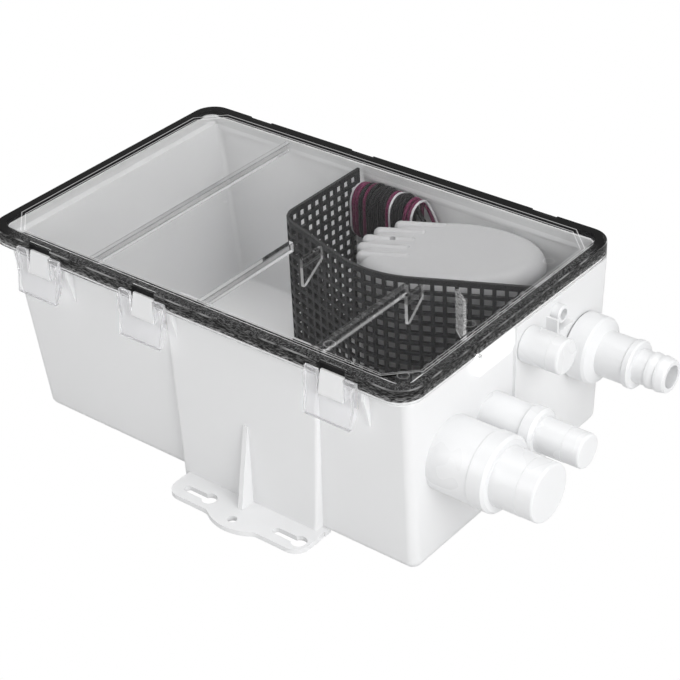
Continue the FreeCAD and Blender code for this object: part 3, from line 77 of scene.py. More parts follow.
class Net:
    """Short forms for the nodes of one tree: a socket given as an input is linked, and a value is set."""

    def __init__(self, tree):
        self.tree = tree

    def node(self, kind, inputs=None, **settings):
        """A node with its settings and its inputs."""
        made = self.tree.nodes.new(kind)
        for name, value in settings.items():
            setattr(made, name, value)
        self.feed(made, inputs or {})
        return made

    def feed(self, node, inputs):
        """The inputs of a node."""
        for key, value in inputs.items():
            if isinstance(value, bpy.types.NodeSocket):
                self.tree.links.new(value, node.inputs[key])
            else:
                node.inputs[key].default_value = value

    def compute(self, kind, *values):
        """One calculation with numbers."""
        return self.node("ShaderNodeMath", dict(enumerate(values)), operation=kind).outputs[0]

    def vector(self, kind, *values):
        """One calculation with vectors; a length or a dot product comes out as a number."""
        made = self.node("ShaderNodeVectorMath", dict(enumerate(values)), operation=kind)
        return made.outputs["Value" if kind in ("LENGTH", "DOT_PRODUCT") else "Vector"]

    def axes(self, value):
        """X, Y and Z of a vector."""
        return self.node("ShaderNodeSeparateXYZ", {0: value}).outputs

    def ramp(self, value, start, full):
        """Nought before start and one past full, with a smooth step between; full may be the lower one."""
        return self.node("ShaderNodeMapRange", {"Value": value, "From Min": start, "From Max": full},
                         interpolation_type="SMOOTHSTEP").outputs["Result"]

    def noise(self, place, scale, detail):
        """Noise from nought to one."""
        inputs = {"Vector": place, "Scale": scale, "Detail": detail}
        return self.node("ShaderNodeTexNoise", inputs).outputs["Fac"]

    def spot(self):
        """The point on the piece in Object coordinates."""
        return self.node("ShaderNodeTexCoord").outputs["Object"]

    def mix(self, share, first, second):
        """The first colour where the share is nought and the second where it is one."""
        return self.node("ShaderNodeMix", {"Factor": share, "A": first, "B": second},
                         data_type="RGBA").outputs["Result"]

    def either(self, share, first, second):
        """The first shader where the share is nought and the second where it is one."""
        return self.node("ShaderNodeMixShader", {0: share, 1: first, 2: second}).outputs[0]

    def seen_by_eye(self):
        """One where the ray comes from the camera or through glass, and nought elsewhere."""
        rays = self.node("ShaderNodeLightPath").outputs
        return self.compute("MAXIMUM", rays["Is Camera Ray"], rays["Is Transmission Ray"])


room = bpy.data.worlds.new("white_room")
scene.world = room
room.use_nodes = True
net = Net(room.node_tree)
back = room.node_tree.nodes["Background"]
net.feed(back, {"Color": white, "Strength": room_light})
bright = net.node("ShaderNodeBackground", {"Color": white, "Strength": 1.0})
room_seen = net.either(net.seen_by_eye(), back.outputs[0], bright.outputs[0])
net.feed(room.node_tree.nodes["World Output"], {0: room_seen})

floor_mesh = bpy.data.meshes.new("floor_sheet")
corners = floor_reach * np.array([(-1, -1), (1, -1), (1, 1), (-1, 1)], float)
floor_mesh.from_pydata(np.column_stack([corners, np.full(4, -floor_drop)]).tolist(), [], [(0, 1, 2, 3)])
floor = bpy.data.objects.new("floor_sheet", floor_mesh)
scene.collection.objects.link(floor)
paper = bpy.data.materials.new("white_paper")
paper.use_nodes = True
net = Net(paper.node_tree)
body = paper.node_tree.nodes["Principled BSDF"]
net.feed(body, {"Base Color": (0.70, 0.70, 0.70, 1.0), "Roughness": 0.9})
glow = net.node("ShaderNodeEmission", {"Strength": 1.0})
paper_seen = net.either(net.seen_by_eye(), body.outputs[0], glow.outputs[0])
net.feed(paper.node_tree.nodes["Material Output"], {0: paper_seen})
floor_mesh.materials.append(paper)


def soft_lamp(name, at, target, size, power):
    """A square area lamp that faces a point."""
    lamp = bpy.data.lights.new(name, "AREA")
    lamp.shape = "SQUARE"
    lamp.size = size
    lamp.energy = power
    holder = bpy.data.objects.new(name, lamp)
    way = Vector(target) - Vector(at)
    holder.matrix_world = Matrix.Translation(at) @ way.to_track_quat("-Z", "Y").to_matrix().to_4x4()
    scene.collection.objects.link(holder)


soft_lamp("overhead", (0.1, 0.1, 1.5), (0.02, 0.0, 0.05), 1.1, 9.0)
soft_lamp("front_right", (1.3, -0.5, 0.7), (0.05, 0.0, 0.06), 0.9, 12.9)
soft_lamp("near_left", (-0.8, -1.3, 0.9), (0.0, 0.0, 0.06), 0.9, 5.2)

# Moulded plastic
# Injection-moulded parts carry a faint orange peel, and a slight drift of
# colour and gloss across the wall. Rubber, metal and foam use it more strongly.
drift_scale = 14.0
rough_drift = 0.12
peel_depth = 0.0004


def mould_group():
    """Noise of two sizes on Object coordinates, as a colour factor, a roughness and a bumped normal.

    The colour is the given one times 1 + drift * (noise - 0.5), and the roughness moves with the same noise.
    """
    group = bpy.data.node_groups.new("moulded_skin", "ShaderNodeTree")
    face = group.interface
    for name, kind, value in (("Colour", "NodeSocketColor", (0.8, 0.8, 0.8, 1.0)),
                              ("Drift", "NodeSocketFloat", 0.03), ("Roughness", "NodeSocketFloat", 0.35),
                              ("Peel", "NodeSocketFloat", 0.1), ("Scale", "NodeSocketFloat", 260.0)):
        entry = face.new_socket(name, in_out="INPUT", socket_type=kind)
        entry.default_value = value
    for name, kind in (("Colour", "NodeSocketColor"), ("Roughness", "NodeSocketFloat"),
                       ("Normal", "NodeSocketVector")):
        face.new_socket(name, in_out="OUTPUT", socket_type=kind)
    net = Net(group)
    given = group.nodes.new("NodeGroupInput").outputs
    centre = net.compute("SUBTRACT", net.noise(net.spot(), drift_scale, 3.0), 0.5)
    shift = net.compute("MULTIPLY_ADD", centre, given["Drift"], 1.0)
    tint = net.node("ShaderNodeVectorMath", {0: given["Colour"], "Scale": shift}, operation="SCALE")
    rough = net.compute("MULTIPLY_ADD", centre, rough_drift, given["Roughness"])
    fine = net.noise(net.spot(), given["Scale"], 2.0)
    bump = net.node("ShaderNodeBump", {"Distance": peel_depth, "Height": fine, "Strength": given["Peel"]})
    net.feed(group.nodes.new("NodeGroupOutput"), {
        "Colour": tint.outputs["Vector"], "Roughness": rough, "Normal": bump.outputs["Normal"]})
    return group


skin = mould_group()


def moulded(name, colour, rough, drift=0.03, peel=0.1, scale=260.0, metal=0.0, gloss=0.5, painted_shade_mix=None):
    """A material whose colour, roughness and normal come from the moulded skin.

    The painted shade mix is a mask group and a colour: the mask mixes that colour into the first one as
    painted shade.
    """
    paint = bpy.data.materials.new(name)
    paint.use_nodes = True
    net = Net(paint.node_tree)
    colour = (*colour, 1.0)
    if painted_shade_mix:
        group, second = painted_shade_mix
        mask = net.node("ShaderNodeGroup", node_tree=group).outputs["Mask"]
        colour = net.mix(mask, colour, (*second, 1.0))
    grain = net.node("ShaderNodeGroup", node_tree=skin)
    net.feed(grain, {"Colour": colour, "Drift": drift, "Roughness": rough, "Peel": peel, "Scale": scale})
    net.feed(paint.node_tree.nodes["Principled BSDF"], {
        "Metallic": metal, "Specular IOR Level": gloss, "Base Color": grain.outputs["Colour"],
        "Roughness": grain.outputs["Roughness"], "Normal": grain.outputs["Normal"]})
    return paint


def finish(material, *names):
    """CAD nodes that take one material."""
    for name in names:
        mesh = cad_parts[name].data
        mesh.materials.clear()
        mesh.materials.append(material)


# Tank
# One white ABS moulding with thin drafted walls, its feet and its hooks.
# Its inner faces, the ledge and the lip are greyed with painted shade, for the shade and dimming under the
# lid.
inside_x = 0.1435
inside_y = 0.0885
floor_skin = 0.0008
ledge_z = 0.1
lip_z = 0.10965
# Shares of painted shade on the inner walls and floor, and on the ledge and lip
inner_shade_share = 0.22
lip_shade_share = 0.45


def inner_painted_shade():
    """How much painted shade a face gets: walls that face the middle, the floor inside them, the ledge and
    the lip.

    A wall counts where its normal dotted with its place in plan is below nought, and a floor
    where its normal points up. All are cut to the inside of the walls.
    """
    group = bpy.data.node_groups.new("inner_painted_shade", "ShaderNodeTree")
    group.interface.new_socket("Mask", in_out="OUTPUT", socket_type="NodeSocketFloat")
    net = Net(group)
    spot = net.spot()
    normal = net.node("ShaderNodeNewGeometry").outputs["Normal"]
    size = net.axes(net.vector("ABSOLUTE", spot))
    in_plan = net.vector("MULTIPLY", spot, (1.0, 1.0, 0.0))
    wall = net.compute("LESS_THAN", net.vector("DOT_PRODUCT", in_plan, normal), -0.01)
    ground = net.compute("GREATER_THAN", net.axes(normal)["Z"], 0.7)
    near_x = net.compute("LESS_THAN", size["X"], inside_x)
    near_y = net.compute("LESS_THAN", size["Y"], inside_y)
    above = net.compute("GREATER_THAN", size["Z"], floor_skin)
    area = net.compute("MULTIPLY", net.compute("MULTIPLY", near_x, near_y), above)
    faces = net.compute("MULTIPLY", net.compute("MAXIMUM", wall, ground), inner_shade_share)
    ledge = net.compute("MULTIPLY", ground, net.compute("GREATER_THAN", size["Z"], ledge_z))
    lip = net.compute("MAXIMUM", net.compute("GREATER_THAN", size["Z"], lip_z), ledge)
    lip = net.compute("MULTIPLY", lip, lip_shade_share)
    mask = net.compute("MAXIMUM", net.compute("MULTIPLY", faces, area), net.compute("MULTIPLY", lip, area))
    net.feed(group.nodes.new("NodeGroupOutput"), {"Mask": mask})
    return group


# The inner faces, the ledge and the lip are mixed towards grey 0.36 as painted shade
tank_white = moulded("tank_abs", (0.80, 0.803, 0.808), 0.38, 0.02, 0.12, 320.0,
                     painted_shade_mix=(inner_painted_shade(), (0.36, 0.36, 0.36)))
finish(tank_white, "sump_tank")

# Tails, caps, valve and barb
# Separate white mouldings with a tighter gloss, pushed and bonded in the wall.
tail_white = moulded("tail_abs", (0.80, 0.805, 0.812), 0.28, 0.02, 0.05, 420.0)
finish(tail_white, "inlet_tail_large", "inlet_tail_medium", "inlet_tail_small", "cable_tube")
finish(tail_white, "inlet_cap_large", "inlet_cap_medium", "inlet_cap_small")
finish(tail_white, "valve_housing", "valve_seat", "outlet_barb")

# Lid and clips
# Clear polycarbonate: one lid with its ribs and guide blades, and six separate clips. Light passes
# straight through to the pump. Painted highlights glow as fine lines on the bevel, the ribs' edges and
# the ejector marks, and the skirt carries painted shade over the dark gasket, with scuffed streaks and
# painted highlights.
ejector_marks = ((0.1376, -0.0820, 0.003), (0.1337, 0.0530, 0.003), (0.0885, -0.0790, 0.003),
                 (0.1357, -0.0230, 0.003), (-0.0560, 0.0040, 0.0008))
ejector_share = 0.4
corner_centre = (0.136, 0.0819, 0.0)
bevel_x = 0.1435
bevel_y = 0.08835
bevel_cut = 0.2167
bevel_wide = 0.0021
rib_top = 0.1143
rib_foot = 0.1094
skirt_edge = 0.1171

# Where each mask starts and where it is full: heights first, then distances from the corner's centre
top_face = (0.1172, 0.1176)
skirt_foot = (0.1100, 0.1106)
skirt_head = (0.1176, 0.1170)
skirt_low = (0.1140, 0.1112)
corner_low = (0.1145, 0.1120)
above_panel = (0.1160, 0.1163)
under_panel = (0.1146, 0.1142)
rib_hem = (0.1093, 0.1087)
tab_low = (0.1088, 0.1085)
skirt_face = (0.0122, 0.0130)
skirt_outside = (0.0126, 0.0136)
far_rim = (0.0072, 0.0079)
near_rim = (0.0058, 0.0070)
inside_rim = (0.0100, 0.0050)

# The same along X or Y, for the far side, the left end, the port end, the guide blade and the tabs
far_side = (0.070, 0.082)
left_end = (-0.120, -0.138)
port_end = (0.118, 0.140)
blade_x = (0.106, 0.107)
tab_x = (0.1465, 0.1475)


def rim_painted_light():
    """Masks of the lid: painted shade on the skirt and far rim, painted grey lines at the rib roots, scuffed
    streaks with painted highlights on the skirt, a mottled painted reflection on the near rim, and painted
    highlights on thin edges, bevel lines and tabs.

    The distance to the rim's outline is |max(|p| - corner centre, 0)|, and the bevel's outline is
    the greatest of |x| - bevel x, |y| - bevel y and (|x| + |y| - bevel cut) / sqrt(2).
    """
    group = bpy.data.node_groups.new("rim_painted_light", "ShaderNodeTree")
    for name in ("Shade", "Root", "Skirt", "Rim", "Edge", "Line", "Tab"):
        group.interface.new_socket(name, in_out="OUTPUT", socket_type="NodeSocketFloat")
    net = Net(group)
    ramp = net.ramp

    def product(*values):
        """All the values multiplied."""
        result = values[0]
        for value in values[1:]:
            result = net.compute("MULTIPLY", result, value)
        return result

    def greatest(*values):
        """The largest of the values."""
        result = values[0]
        for value in values[1:]:
            result = net.compute("MAXIMUM", result, value)
        return result

    def line(distance, at, wide):
        """One where |distance - at| is small, and nought from the given width on."""
        away = net.compute("ABSOLUTE", net.compute("SUBTRACT", distance, at))
        return ramp(away, wide, wide * 0.4)

    spot = net.spot()
    place = net.axes(spot)
    level = place["Z"]
    flat = net.vector("MULTIPLY", net.vector("ABSOLUTE", spot), (1.0, 1.0, 0.0))
    spread = net.axes(flat)
    normal = net.axes(net.node("ShaderNodeNewGeometry").outputs["Normal"])
    reach = net.vector("MAXIMUM", net.vector("SUBTRACT", flat, corner_centre), (0.0, 0.0, 0.0))
    outline = net.vector("LENGTH", reach)
    streaks = ramp(net.noise(net.vector("MULTIPLY", spot, (1.0, 1.0, 5.0)), 380.0, 5.0), 0.40, 0.68)

    side = ramp(net.compute("ABSOLUTE", normal["Z"]), 0.9, 0.5)
    top = ramp(level, *top_face)
    behind = greatest(ramp(place["Y"], *far_side), ramp(place["X"], *left_end))
    # Painted shade: black over the far and left rim's top and on the skirt's outer face
    far_rim_shade = product(top, ramp(outline, *far_rim), behind)
    skirt = product(side, ramp(outline, *skirt_face), ramp(level, *skirt_foot), ramp(level, *skirt_head))

    # Scuffed streaks low on the skirt, with a painted highlight line along its upper edge and painted
    # highlights at the port corner
    low_half = product(ramp(level, *skirt_low), streaks)
    corner = product(ramp(place["X"], *port_end), ramp(level, *corner_low), streaks)
    upper = product(line(level, skirt_edge, 0.0006), ramp(net.noise(spot, 60.0, 2.0), 0.42, 0.60))
    scuffs_and_glints = greatest(low_half, upper, corner, net.compute("MULTIPLY", streaks, 0.35))

    # A mottled painted reflection on the near and port rim
    front_band = product(ramp(outline, *near_rim), net.compute("SUBTRACT", 1.0, behind))
    speckled_reflection = ramp(net.noise(spot, 1100.0, 4.0), 0.42, 0.68)

    # Painted highlights on the narrow rib faces and the guide blade, and painted grey lines at the rib roots
    below = ramp(level, *under_panel)
    inside = ramp(outline, *inside_rim)
    across = net.compute("ABSOLUTE", normal["X"])
    hanging = net.compute("MULTIPLY_ADD", ramp(level, *rib_hem), 0.65, 0.35)
    rib_edges = product(ramp(across, 0.5, 0.2), hanging)
    blade = product(side, ramp(place["X"], *blade_x), streaks)
    root = greatest(line(level, rib_top, 0.0006), line(level, rib_foot, 0.0006))

    # Painted highlights along the bevel's two outlines and round the ejector marks
    slant = net.compute("SUBTRACT", net.compute("ADD", spread["X"], spread["Y"]), bevel_cut)
    bevel = greatest(net.compute("SUBTRACT", spread["X"], bevel_x),
                     net.compute("SUBTRACT", spread["Y"], bevel_y),
                     net.compute("MULTIPLY", slant, math.sqrt(0.5)))
    lines = greatest(line(bevel, 0.0, 0.00035), line(bevel, -bevel_wide, 0.00030))
    for x, y, radius in ejector_marks:
        away = net.vector("MULTIPLY", net.vector("SUBTRACT", spot, (x, y, 0.0)), (1.0, 1.0, 0.0))
        ring = line(net.vector("LENGTH", away), radius, 0.0004)
        lines = greatest(lines, net.compute("MULTIPLY", ring, ejector_share))

    # Shade is painted shade; the other masks glow as painted highlights, Tab as a painted haze, and Skirt
    # also holds scuffs
    net.feed(group.nodes.new("NodeGroupOutput"), {
        "Shade": greatest(skirt, far_rim_shade),
        "Root": product(ramp(across, 0.5, 0.8), root, inside),
        "Skirt": product(side, ramp(outline, *skirt_outside), scuffs_and_glints),
        "Rim": product(front_band, top, speckled_reflection),
        "Edge": product(greatest(rib_edges, blade), below, inside),
        "Line": product(lines, ramp(level, *above_panel)),
        "Tab": product(ramp(level, *tab_low), ramp(spread["X"], *tab_x))})
    return group


# The lid's painted shade and painted highlights, with scuffs on the skirt: mask, how much of the clear
# colour gives way to it, and how grey it glows as painted light
lid_scuffs_and_painted_light = (("Shade", 1.0, 0.012), ("Root", 0.6, 0.13), ("Skirt", 0.45, 0.60), ("Rim", 0.25, 0.40),
             ("Edge", 0.7, 0.50), ("Line", 0.6, 0.75), ("Tab", 0.7, 0.80))
cloud_scale = 35.0
cloud_rough = 0.03
cloud_tint = 0.98
# Painted shade: the near-black that a mark turns the lid's tint to
painted_dark_tint = (0.0005, 0.0005, 0.0005, 1.0)


def clear_plastic(name, tint, shadow, rough, ior, clear, marks=()):
    """Clear plastic for the eye that lets shadow rays through, with a faint cloud in its tint and roughness.

    Where a mark's mask shows, its share of the tint turns almost black as painted shade and the same share
    of its grey glows as painted light.
    """
    paint = bpy.data.materials.new(name)
    paint.use_nodes = True
    net = Net(paint.node_tree)
    cloud = net.noise(net.spot(), cloud_scale, 2.0)
    haze = net.node("ShaderNodeMapRange", {"Value": cloud, "To Min": rough, "To Max": rough + cloud_rough})
    colour = net.mix(cloud, (*tint, 1.0), (*[cloud_tint * c for c in tint], 1.0))
    body = paint.node_tree.nodes["Principled BSDF"]
    if marks:
        masks = net.node("ShaderNodeGroup", node_tree=rim_painted_light()).outputs
        # The glow is painted light: each mark's grey shines from the lid without a lamp
        glow = black
        for mask, amount, grey in marks:
            share = net.compute("MULTIPLY", masks[mask], amount)
            colour = net.mix(share, colour, painted_dark_tint)
            glow = net.mix(share, glow, (grey, grey, grey, 1.0))
        net.feed(body, {"Emission Color": glow, "Emission Strength": 1.0})
    net.feed(body, {"Base Color": colour, "Roughness": haze.outputs["Result"], "IOR": ior,
                    "Transmission Weight": clear})
    through = net.node("ShaderNodeBsdfTransparent", {"Color": (*shadow, 1.0)})
    shadow_ray = net.node("ShaderNodeLightPath").outputs["Is Shadow Ray"]
    shown = net.either(shadow_ray, body.outputs[0], through.outputs[0])
    net.feed(paint.node_tree.nodes["Material Output"], {0: shown})
    return paint


clear_lid = clear_plastic("lid_polycarbonate", (0.82, 0.82, 0.82), (0.75, 0.75, 0.75), 0.0, 1.12, 1.0,
                          lid_scuffs_and_painted_light)
finish(clear_lid, "clear_lid")
clear_clip = clear_plastic("clip_polycarbonate", (0.84, 0.84, 0.85), (0.95, 0.95, 0.95), 0.08, 1.22, 0.8)
for where in ("left", "middle", "right"):
    finish(clear_clip, "lid_clip_near_" + where, "lid_clip_far_" + where)

# Gasket
# A ring of black rubber pressed between the tank's rim and the lid. Its upper
# half swells against the skirt, so it shows black right to the edge.

# Half length, half width and corner radius of each outline, and the heights that it stands at
ring_in = (0.1437, 0.08855, 0.008)
ring_low = (0.1476, 0.0935, 0.0116)
ring_high = (0.14825, 0.09415, 0.01225)
ring_foot = 0.10962
ring_waist = 0.1128
ring_swell = 0.1131
ring_crown_in = 0.11595
ring_crown_out = 0.11603
ring_side = 24


def corner_round(half_x, half_y, r):
    """An outline of a rectangle with quarter-circle corners: the centre plus r times the unit circle."""
    turn = np.radians(np.linspace(0, 90, ring_side))
    out = []
    for k, (sx, sy) in enumerate(((1, 1), (-1, 1), (-1, -1), (1, -1))):
        angle = turn + k * math.pi / 2
        x = sx * (half_x - r) + r * np.cos(angle)
        y = sy * (half_y - r) + r * np.sin(angle)
        out.append(np.stack([x, y], 1))
    return np.concatenate(out)


section = [(ring_in, ring_foot), (ring_in, ring_crown_in), (ring_high, ring_crown_out),
           (ring_high, ring_swell), (ring_low, ring_waist), (ring_low, ring_foot)]
count = 4 * ring_side
loops = [np.column_stack([corner_round(*outline), np.full(count, z)]) for outline, z in section]
band = np.arange(count * len(loops)).reshape(len(loops), count)
after = np.roll(band, -1, axis=0)
quads = np.stack([band, np.roll(band, -1, axis=1), np.roll(after, -1, axis=1), after], -1).reshape(-1, 4)
gasket_mesh = bpy.data.meshes.new("gasket_ring")
gasket_mesh.from_pydata(np.concatenate(loops).tolist(), [], quads.tolist())
gasket_ring = bpy.data.objects.new("gasket_ring", gasket_mesh)
scene.collection.objects.link(gasket_ring)
gasket_rubber = moulded("gasket_rubber", (0.008, 0.008, 0.0085), 0.6, 0.8, 0.6, 900.0, gloss=0.12)
gasket_mesh.materials.append(gasket_rubber)
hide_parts("lid_gasket")
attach(gasket_ring, "lid")

# Filter screen
# One black moulded sheet on edge, bent round the pump, with small square
# holes all over inside a plain border.
sheet_half = 0.0009
border = 0.0034
hole_bar = 0.0021
columns = 35
rows = 16


def rounded_path(corners, radii, shares):
    """Points and side vectors at given shares of a route, and its length.

    The route is straight runs that tangent arcs join. Its heading is the sum of curvature times
    step, and a point is the sum of (cos, sin) of the heading times step.
    """
    corners = np.asarray(corners, float)
    runs = np.diff(corners, axis=0)
    heads = np.arctan2(runs[:, 1], runs[:, 0])
    turns = np.diff(heads)
    trims = np.abs(radii * np.tan(turns / 2))
    ends = np.concatenate(([0.0], trims, [0.0]))
    straight = np.hypot(runs[:, 0], runs[:, 1]) - ends[:-1] - ends[1:]
    lengths = np.zeros(2 * len(straight) - 1)
    lengths[0::2] = straight
    lengths[1::2] = np.abs(radii * turns)
    stops = np.concatenate(([0.0], np.cumsum(lengths)))
    bends = np.zeros_like(lengths)
    bends[1::2] = np.sign(turns) / radii
    s = np.asarray(shares, float) * stops[-1]
    fine = np.linspace(0.0, stops[-1], 6001)
    piece = np.clip(np.searchsorted(stops, fine, side="right") - 1, 0, len(lengths) - 1)
    head = heads[0] + np.concatenate(([0.0], np.cumsum(bends[piece[:-1]] * np.diff(fine))))
    mid = (head[1:] + head[:-1]) / 2
    x = corners[0, 0] + np.concatenate(([0.0], np.cumsum(np.cos(mid) * np.diff(fine))))
    y = corners[0, 1] + np.concatenate(([0.0], np.cumsum(np.sin(mid) * np.diff(fine))))
    at = np.stack([np.interp(s, fine, x), np.interp(s, fine, y)], 1)
    turn = np.interp(s, fine, head)
    return at, np.stack([-np.sin(turn), np.cos(turn)], 1), stops[-1]


low, high = (np.array(c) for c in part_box("filter_screen"))
end_gap = 0.0004
start_y = high[1] - 0.00001
route = [(-0.0215, start_y), (-0.0215, 0.0140), (0.0580, -0.0100), (high[0] - end_gap, 0.0305)]
radii = np.array([0.0130, 0.0600])
total = rounded_path(route, radii, [0.0])[2]


def cuts(length, count):
    """Edges of the border, of each hole and of each bar along one side of the sheet."""
    pitch = (length - 2 * border + hole_bar) / count
    first = border + pitch * np.arange(count)
    return np.concatenate(([0.0], np.stack([first, first + pitch - hole_bar], 1).ravel(), [length]))


along = cuts(total, columns)
level_z = low[2] + cuts(high[2] - low[2], rows)
middle, side, total = rounded_path(route, radii, along / total)
flat = np.stack([middle + side * sheet_half, middle - side * sheet_half])
n, m = len(along), len(level_z)
points = np.zeros((2, n, m, 3))
points[..., :2] = flat[:, :, None, :]
points[..., 2] = level_z
index = np.arange(2 * n * m).reshape(2, n, m)
hole = np.zeros((n - 1, m - 1), bool)
hole[1::2, 1::2] = True
i, j = np.nonzero(~hole)
faces = [np.stack([index[0, i, j], index[0, i, j + 1], index[0, i + 1, j + 1], index[0, i + 1, j]], 1)]
faces.append(np.stack([index[1, i, j], index[1, i + 1, j], index[1, i + 1, j + 1], index[1, i, j + 1]], 1))
padded = np.ones((n + 1, m + 1), bool)
padded[1:-1, 1:-1] = hole
i, j = np.nonzero(padded[:-1, 1:-1] != padded[1:, 1:-1])
flip = padded[:-1, 1:-1][i, j]
wall = np.stack([index[0, i, j], index[0, i, j + 1], index[1, i, j + 1], index[1, i, j]], 1)
faces.append(np.where(flip[:, None], wall[:, ::-1], wall))
i, j = np.nonzero(padded[1:-1, :-1] != padded[1:-1, 1:])
flip = padded[1:-1, :-1][i, j]
wall = np.stack([index[0, i, j], index[1, i, j], index[1, i + 1, j], index[0, i + 1, j]], 1)
faces.append(np.where(flip[:, None], wall[:, ::-1], wall))
screen_mesh = bpy.data.meshes.new("screen_sheet")
screen_mesh.from_pydata(points.reshape(-1, 3).tolist(), [], np.concatenate(faces).tolist())
screen_sheet = bpy.data.objects.new("screen_sheet", screen_mesh)
scene.collection.objects.link(screen_sheet)
screen_black = moulded("screen_nylon", (0.020, 0.020, 0.021), 0.45, 0.3, 0.2, 500.0, gloss=0.25)
screen_mesh.materials.append(screen_black)
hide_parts("filter_screen")
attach(screen_sheet, "screen")

# Pump
# A pale grey oval housing over a slotted strainer base, with the motor sealed
# inside. Its label place on the crown stays bare.
pump_grey = moulded("pump_abs", (0.40, 0.40, 0.405), 0.36, 0.03, 0.15, 260.0)
finish(pump_grey, "pump_housing", "pump_base")
inner_grey = moulded("pump_inner_nylon", (0.12, 0.12, 0.13), 0.5, 0.2, 0.2, 300.0)
finish(inner_grey, "pump_bulkhead", "volute_casing", "outlet_elbow", "impeller")
finish(inner_grey, "brush_card", "float_bracket", "float_switch")
steel = moulded("turned_steel", (0.55, 0.55, 0.57), 0.3, 0.1, 0.1, 900.0, 1.0)
finish(steel, "motor_can", "motor_end_plate", "motor_shaft", "motor_armature")
finish(steel, "pump_base_screws", "float_pin")
finish(moulded("ferrite", (0.06, 0.06, 0.065), 0.6, 0.4, 0.4, 500.0), "motor_magnets")
finish(moulded("sintered_bronze", (0.5, 0.3, 0.15), 0.4, 0.2, 0.2, 900.0, 1.0),
       "upper_bearing", "lower_bearing", "commutator")
finish(moulded("brush_carbon", (0.03, 0.03, 0.03), 0.6, 0.4, 0.4, 900.0), "carbon_brushes")
finish(moulded("float_foam", (0.5, 0.5, 0.48), 0.7, 0.2, 0.6, 1200.0), "switch_float")
soft_rubber = moulded("soft_rubber", (0.025, 0.025, 0.026), 0.6, 0.4, 0.4, 600.0)
finish(soft_rubber, "outlet_sleeve", "shaft_seal", "valve_flap")

# Pump lead
# Three PVC-covered wires leave the gland together and are wound
# into a hank that stands on edge beside the pump.
pump_x = 0.075
pump_y = 0.0442
pump_turn = math.radians(28.0)


def from_pump(u, v, z):
    """A point given in the pump's own turned frame: the pump's place plus (u, v) turned by its angle."""
    c, s = math.cos(pump_turn), math.sin(pump_turn)
    return (pump_x + u * c - v * s, pump_y + u * s + v * c, z)


hank_centre = np.array([0.07665, 0.0915])
gland = np.array(from_pump(-0.0140, 0.0400, 0.0860))
gland_in = np.array(from_pump(-0.0140, 0.0328, 0.0860))


def hank_points(first, turns):
    """An upright racetrack for each turn, with its own place along X, half width and half height.

    It steps on to the next turn along the bottom.
    """
    arc = np.radians(np.arange(0, 181, 30))
    share = np.array([0.0] * 10 + [0.15, 0.35, 0.6, 0.85] + [1.0] * 4)
    out = []
    for k, (x, reach, tall) in enumerate(turns):
        step = (turns[k + 1][0] - x) if k + 1 < len(turns) else 0.0
        run, near = tall - reach, 0.52 * reach
        y = np.concatenate([reach * np.cos(arc), [-reach, -reach], -reach * np.cos(arc), [reach, reach]])
        z = np.concatenate([run + reach * np.sin(arc), [run - near, near - run],
                            -run - reach * np.sin(arc), [near - run, run - near]])
        out.append(np.stack([x + step * share, hank_centre[0] + y, hank_centre[1] + z], 1))
    return np.concatenate(out)[first:-1]


def wire(name, colour, thick, offset, gap, winding):
    """A NURBS curve through the gland, across the gap and round the hank, with a round bevel."""
    line = np.concatenate([np.array([gland_in, gland]) + np.asarray(offset), gap, winding])
    curve = bpy.data.curves.new(name, "CURVE")
    curve.dimensions = "3D"
    spline = curve.splines.new("NURBS")
    spline.points.add(len(line) - 1)
    spline.points.foreach_set("co", np.column_stack([line, np.ones(len(line))]).ravel())
    spline.order_u = 3
    spline.use_endpoint_u = True
    spline.resolution_u = 6
    curve.bevel_depth = thick / 2
    curve.bevel_resolution = 4
    curve.use_fill_caps = True
    thing = bpy.data.objects.new(name, curve)
    scene.collection.objects.link(thing)
    curve.materials.append(moulded(name + "_pvc", colour, 0.4, 0.15, 0.1, 900.0, gloss=0.12))
    bare = curve.copy()
    bare.bevel_depth = 0.0
    bare.use_fill_caps = False
    probe = bpy.data.objects.new(name + "_line", bare)
    scene.collection.objects.link(probe)
    bpy.context.view_layer.update()
    mesh = bpy.data.meshes.new_from_object(probe.evaluated_get(bpy.context.evaluated_depsgraph_get()))
    co = np.zeros(3 * len(mesh.vertices))
    mesh.vertices.foreach_get("co", co)
    bpy.data.objects.remove(probe)
    bpy.data.meshes.remove(mesh)
    bpy.data.curves.remove(bare)
    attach(thing, "tank")
    return thing


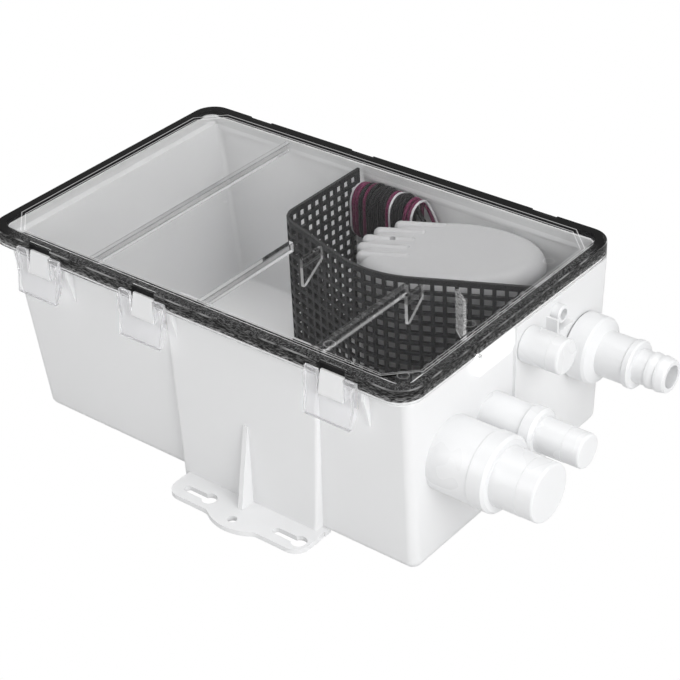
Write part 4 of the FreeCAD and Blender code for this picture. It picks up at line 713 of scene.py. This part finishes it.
black_wire = wire("black_wire", (0.007, 0.0065, 0.0075), 0.0027, (0.0, 0.0, -0.0010), [
    (0.0418, 0.0770, 0.0850), (0.0388, 0.0797, 0.0856), (0.0348, 0.0812, 0.0874), (0.0308, 0.0818, 0.0907),
    (0.0270, 0.0818, 0.0950), (0.0240, 0.0818, 0.0993), (0.0224, 0.0815, 0.1030), (0.0217, 0.0806, 0.1064),
    (0.0215, 0.0781, 0.1088), (0.0215, 0.0747, 0.1096), (0.0215, 0.0713, 0.1086), (0.0215, 0.0688, 0.1061),
    (0.0215, 0.0680, 0.1026)],
    hank_points(7, [
        (0.0215, 0.0087, 0.0180), (0.0186, 0.0088, 0.0184), (0.0157, 0.0087, 0.0176),
        (0.0090, 0.0087, 0.0178), (0.0062, 0.0089, 0.0184), (0.0034, 0.0088, 0.0186),
        (0.0006, 0.0087, 0.0180), (-0.0022, 0.0088, 0.0188), (-0.0078, 0.0087, 0.0176)]))
plum_wire = wire("plum_wire", (0.10, 0.012, 0.045), 0.0024, (0.0, 0.0, 0.0014), [
    (0.0418, 0.0770, 0.0874), (0.0392, 0.0808, 0.0884), (0.0358, 0.0836, 0.0910),
    (0.0322, 0.0850, 0.0950), (0.0294, 0.0855, 0.0996)], hank_points(1, [
        (0.0272, 0.0086, 0.0172), (0.0244, 0.0088, 0.0178), (0.0118, 0.0088, 0.0182),
        (-0.0050, 0.0087, 0.0180), (-0.0108, 0.0086, 0.0172), (-0.0134, 0.0084, 0.0166)]))
grey_wire = wire("grey_wire", (0.50, 0.49, 0.51), 0.0014, (0.0013, 0.0007, 0.0002), [
    (0.0433, 0.0777, 0.0862), (0.0412, 0.0812, 0.0872), (0.0380, 0.0840, 0.0903),
    (0.0345, 0.0853, 0.0945), (0.0316, 0.0858, 0.0992)], hank_points(1, [
        (0.0292, 0.0090, 0.0178), (0.0137, 0.0090, 0.0184), (-0.0155, 0.0084, 0.0162)]))
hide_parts("lead_hank_left", "lead_hank_right", "pump_lead")
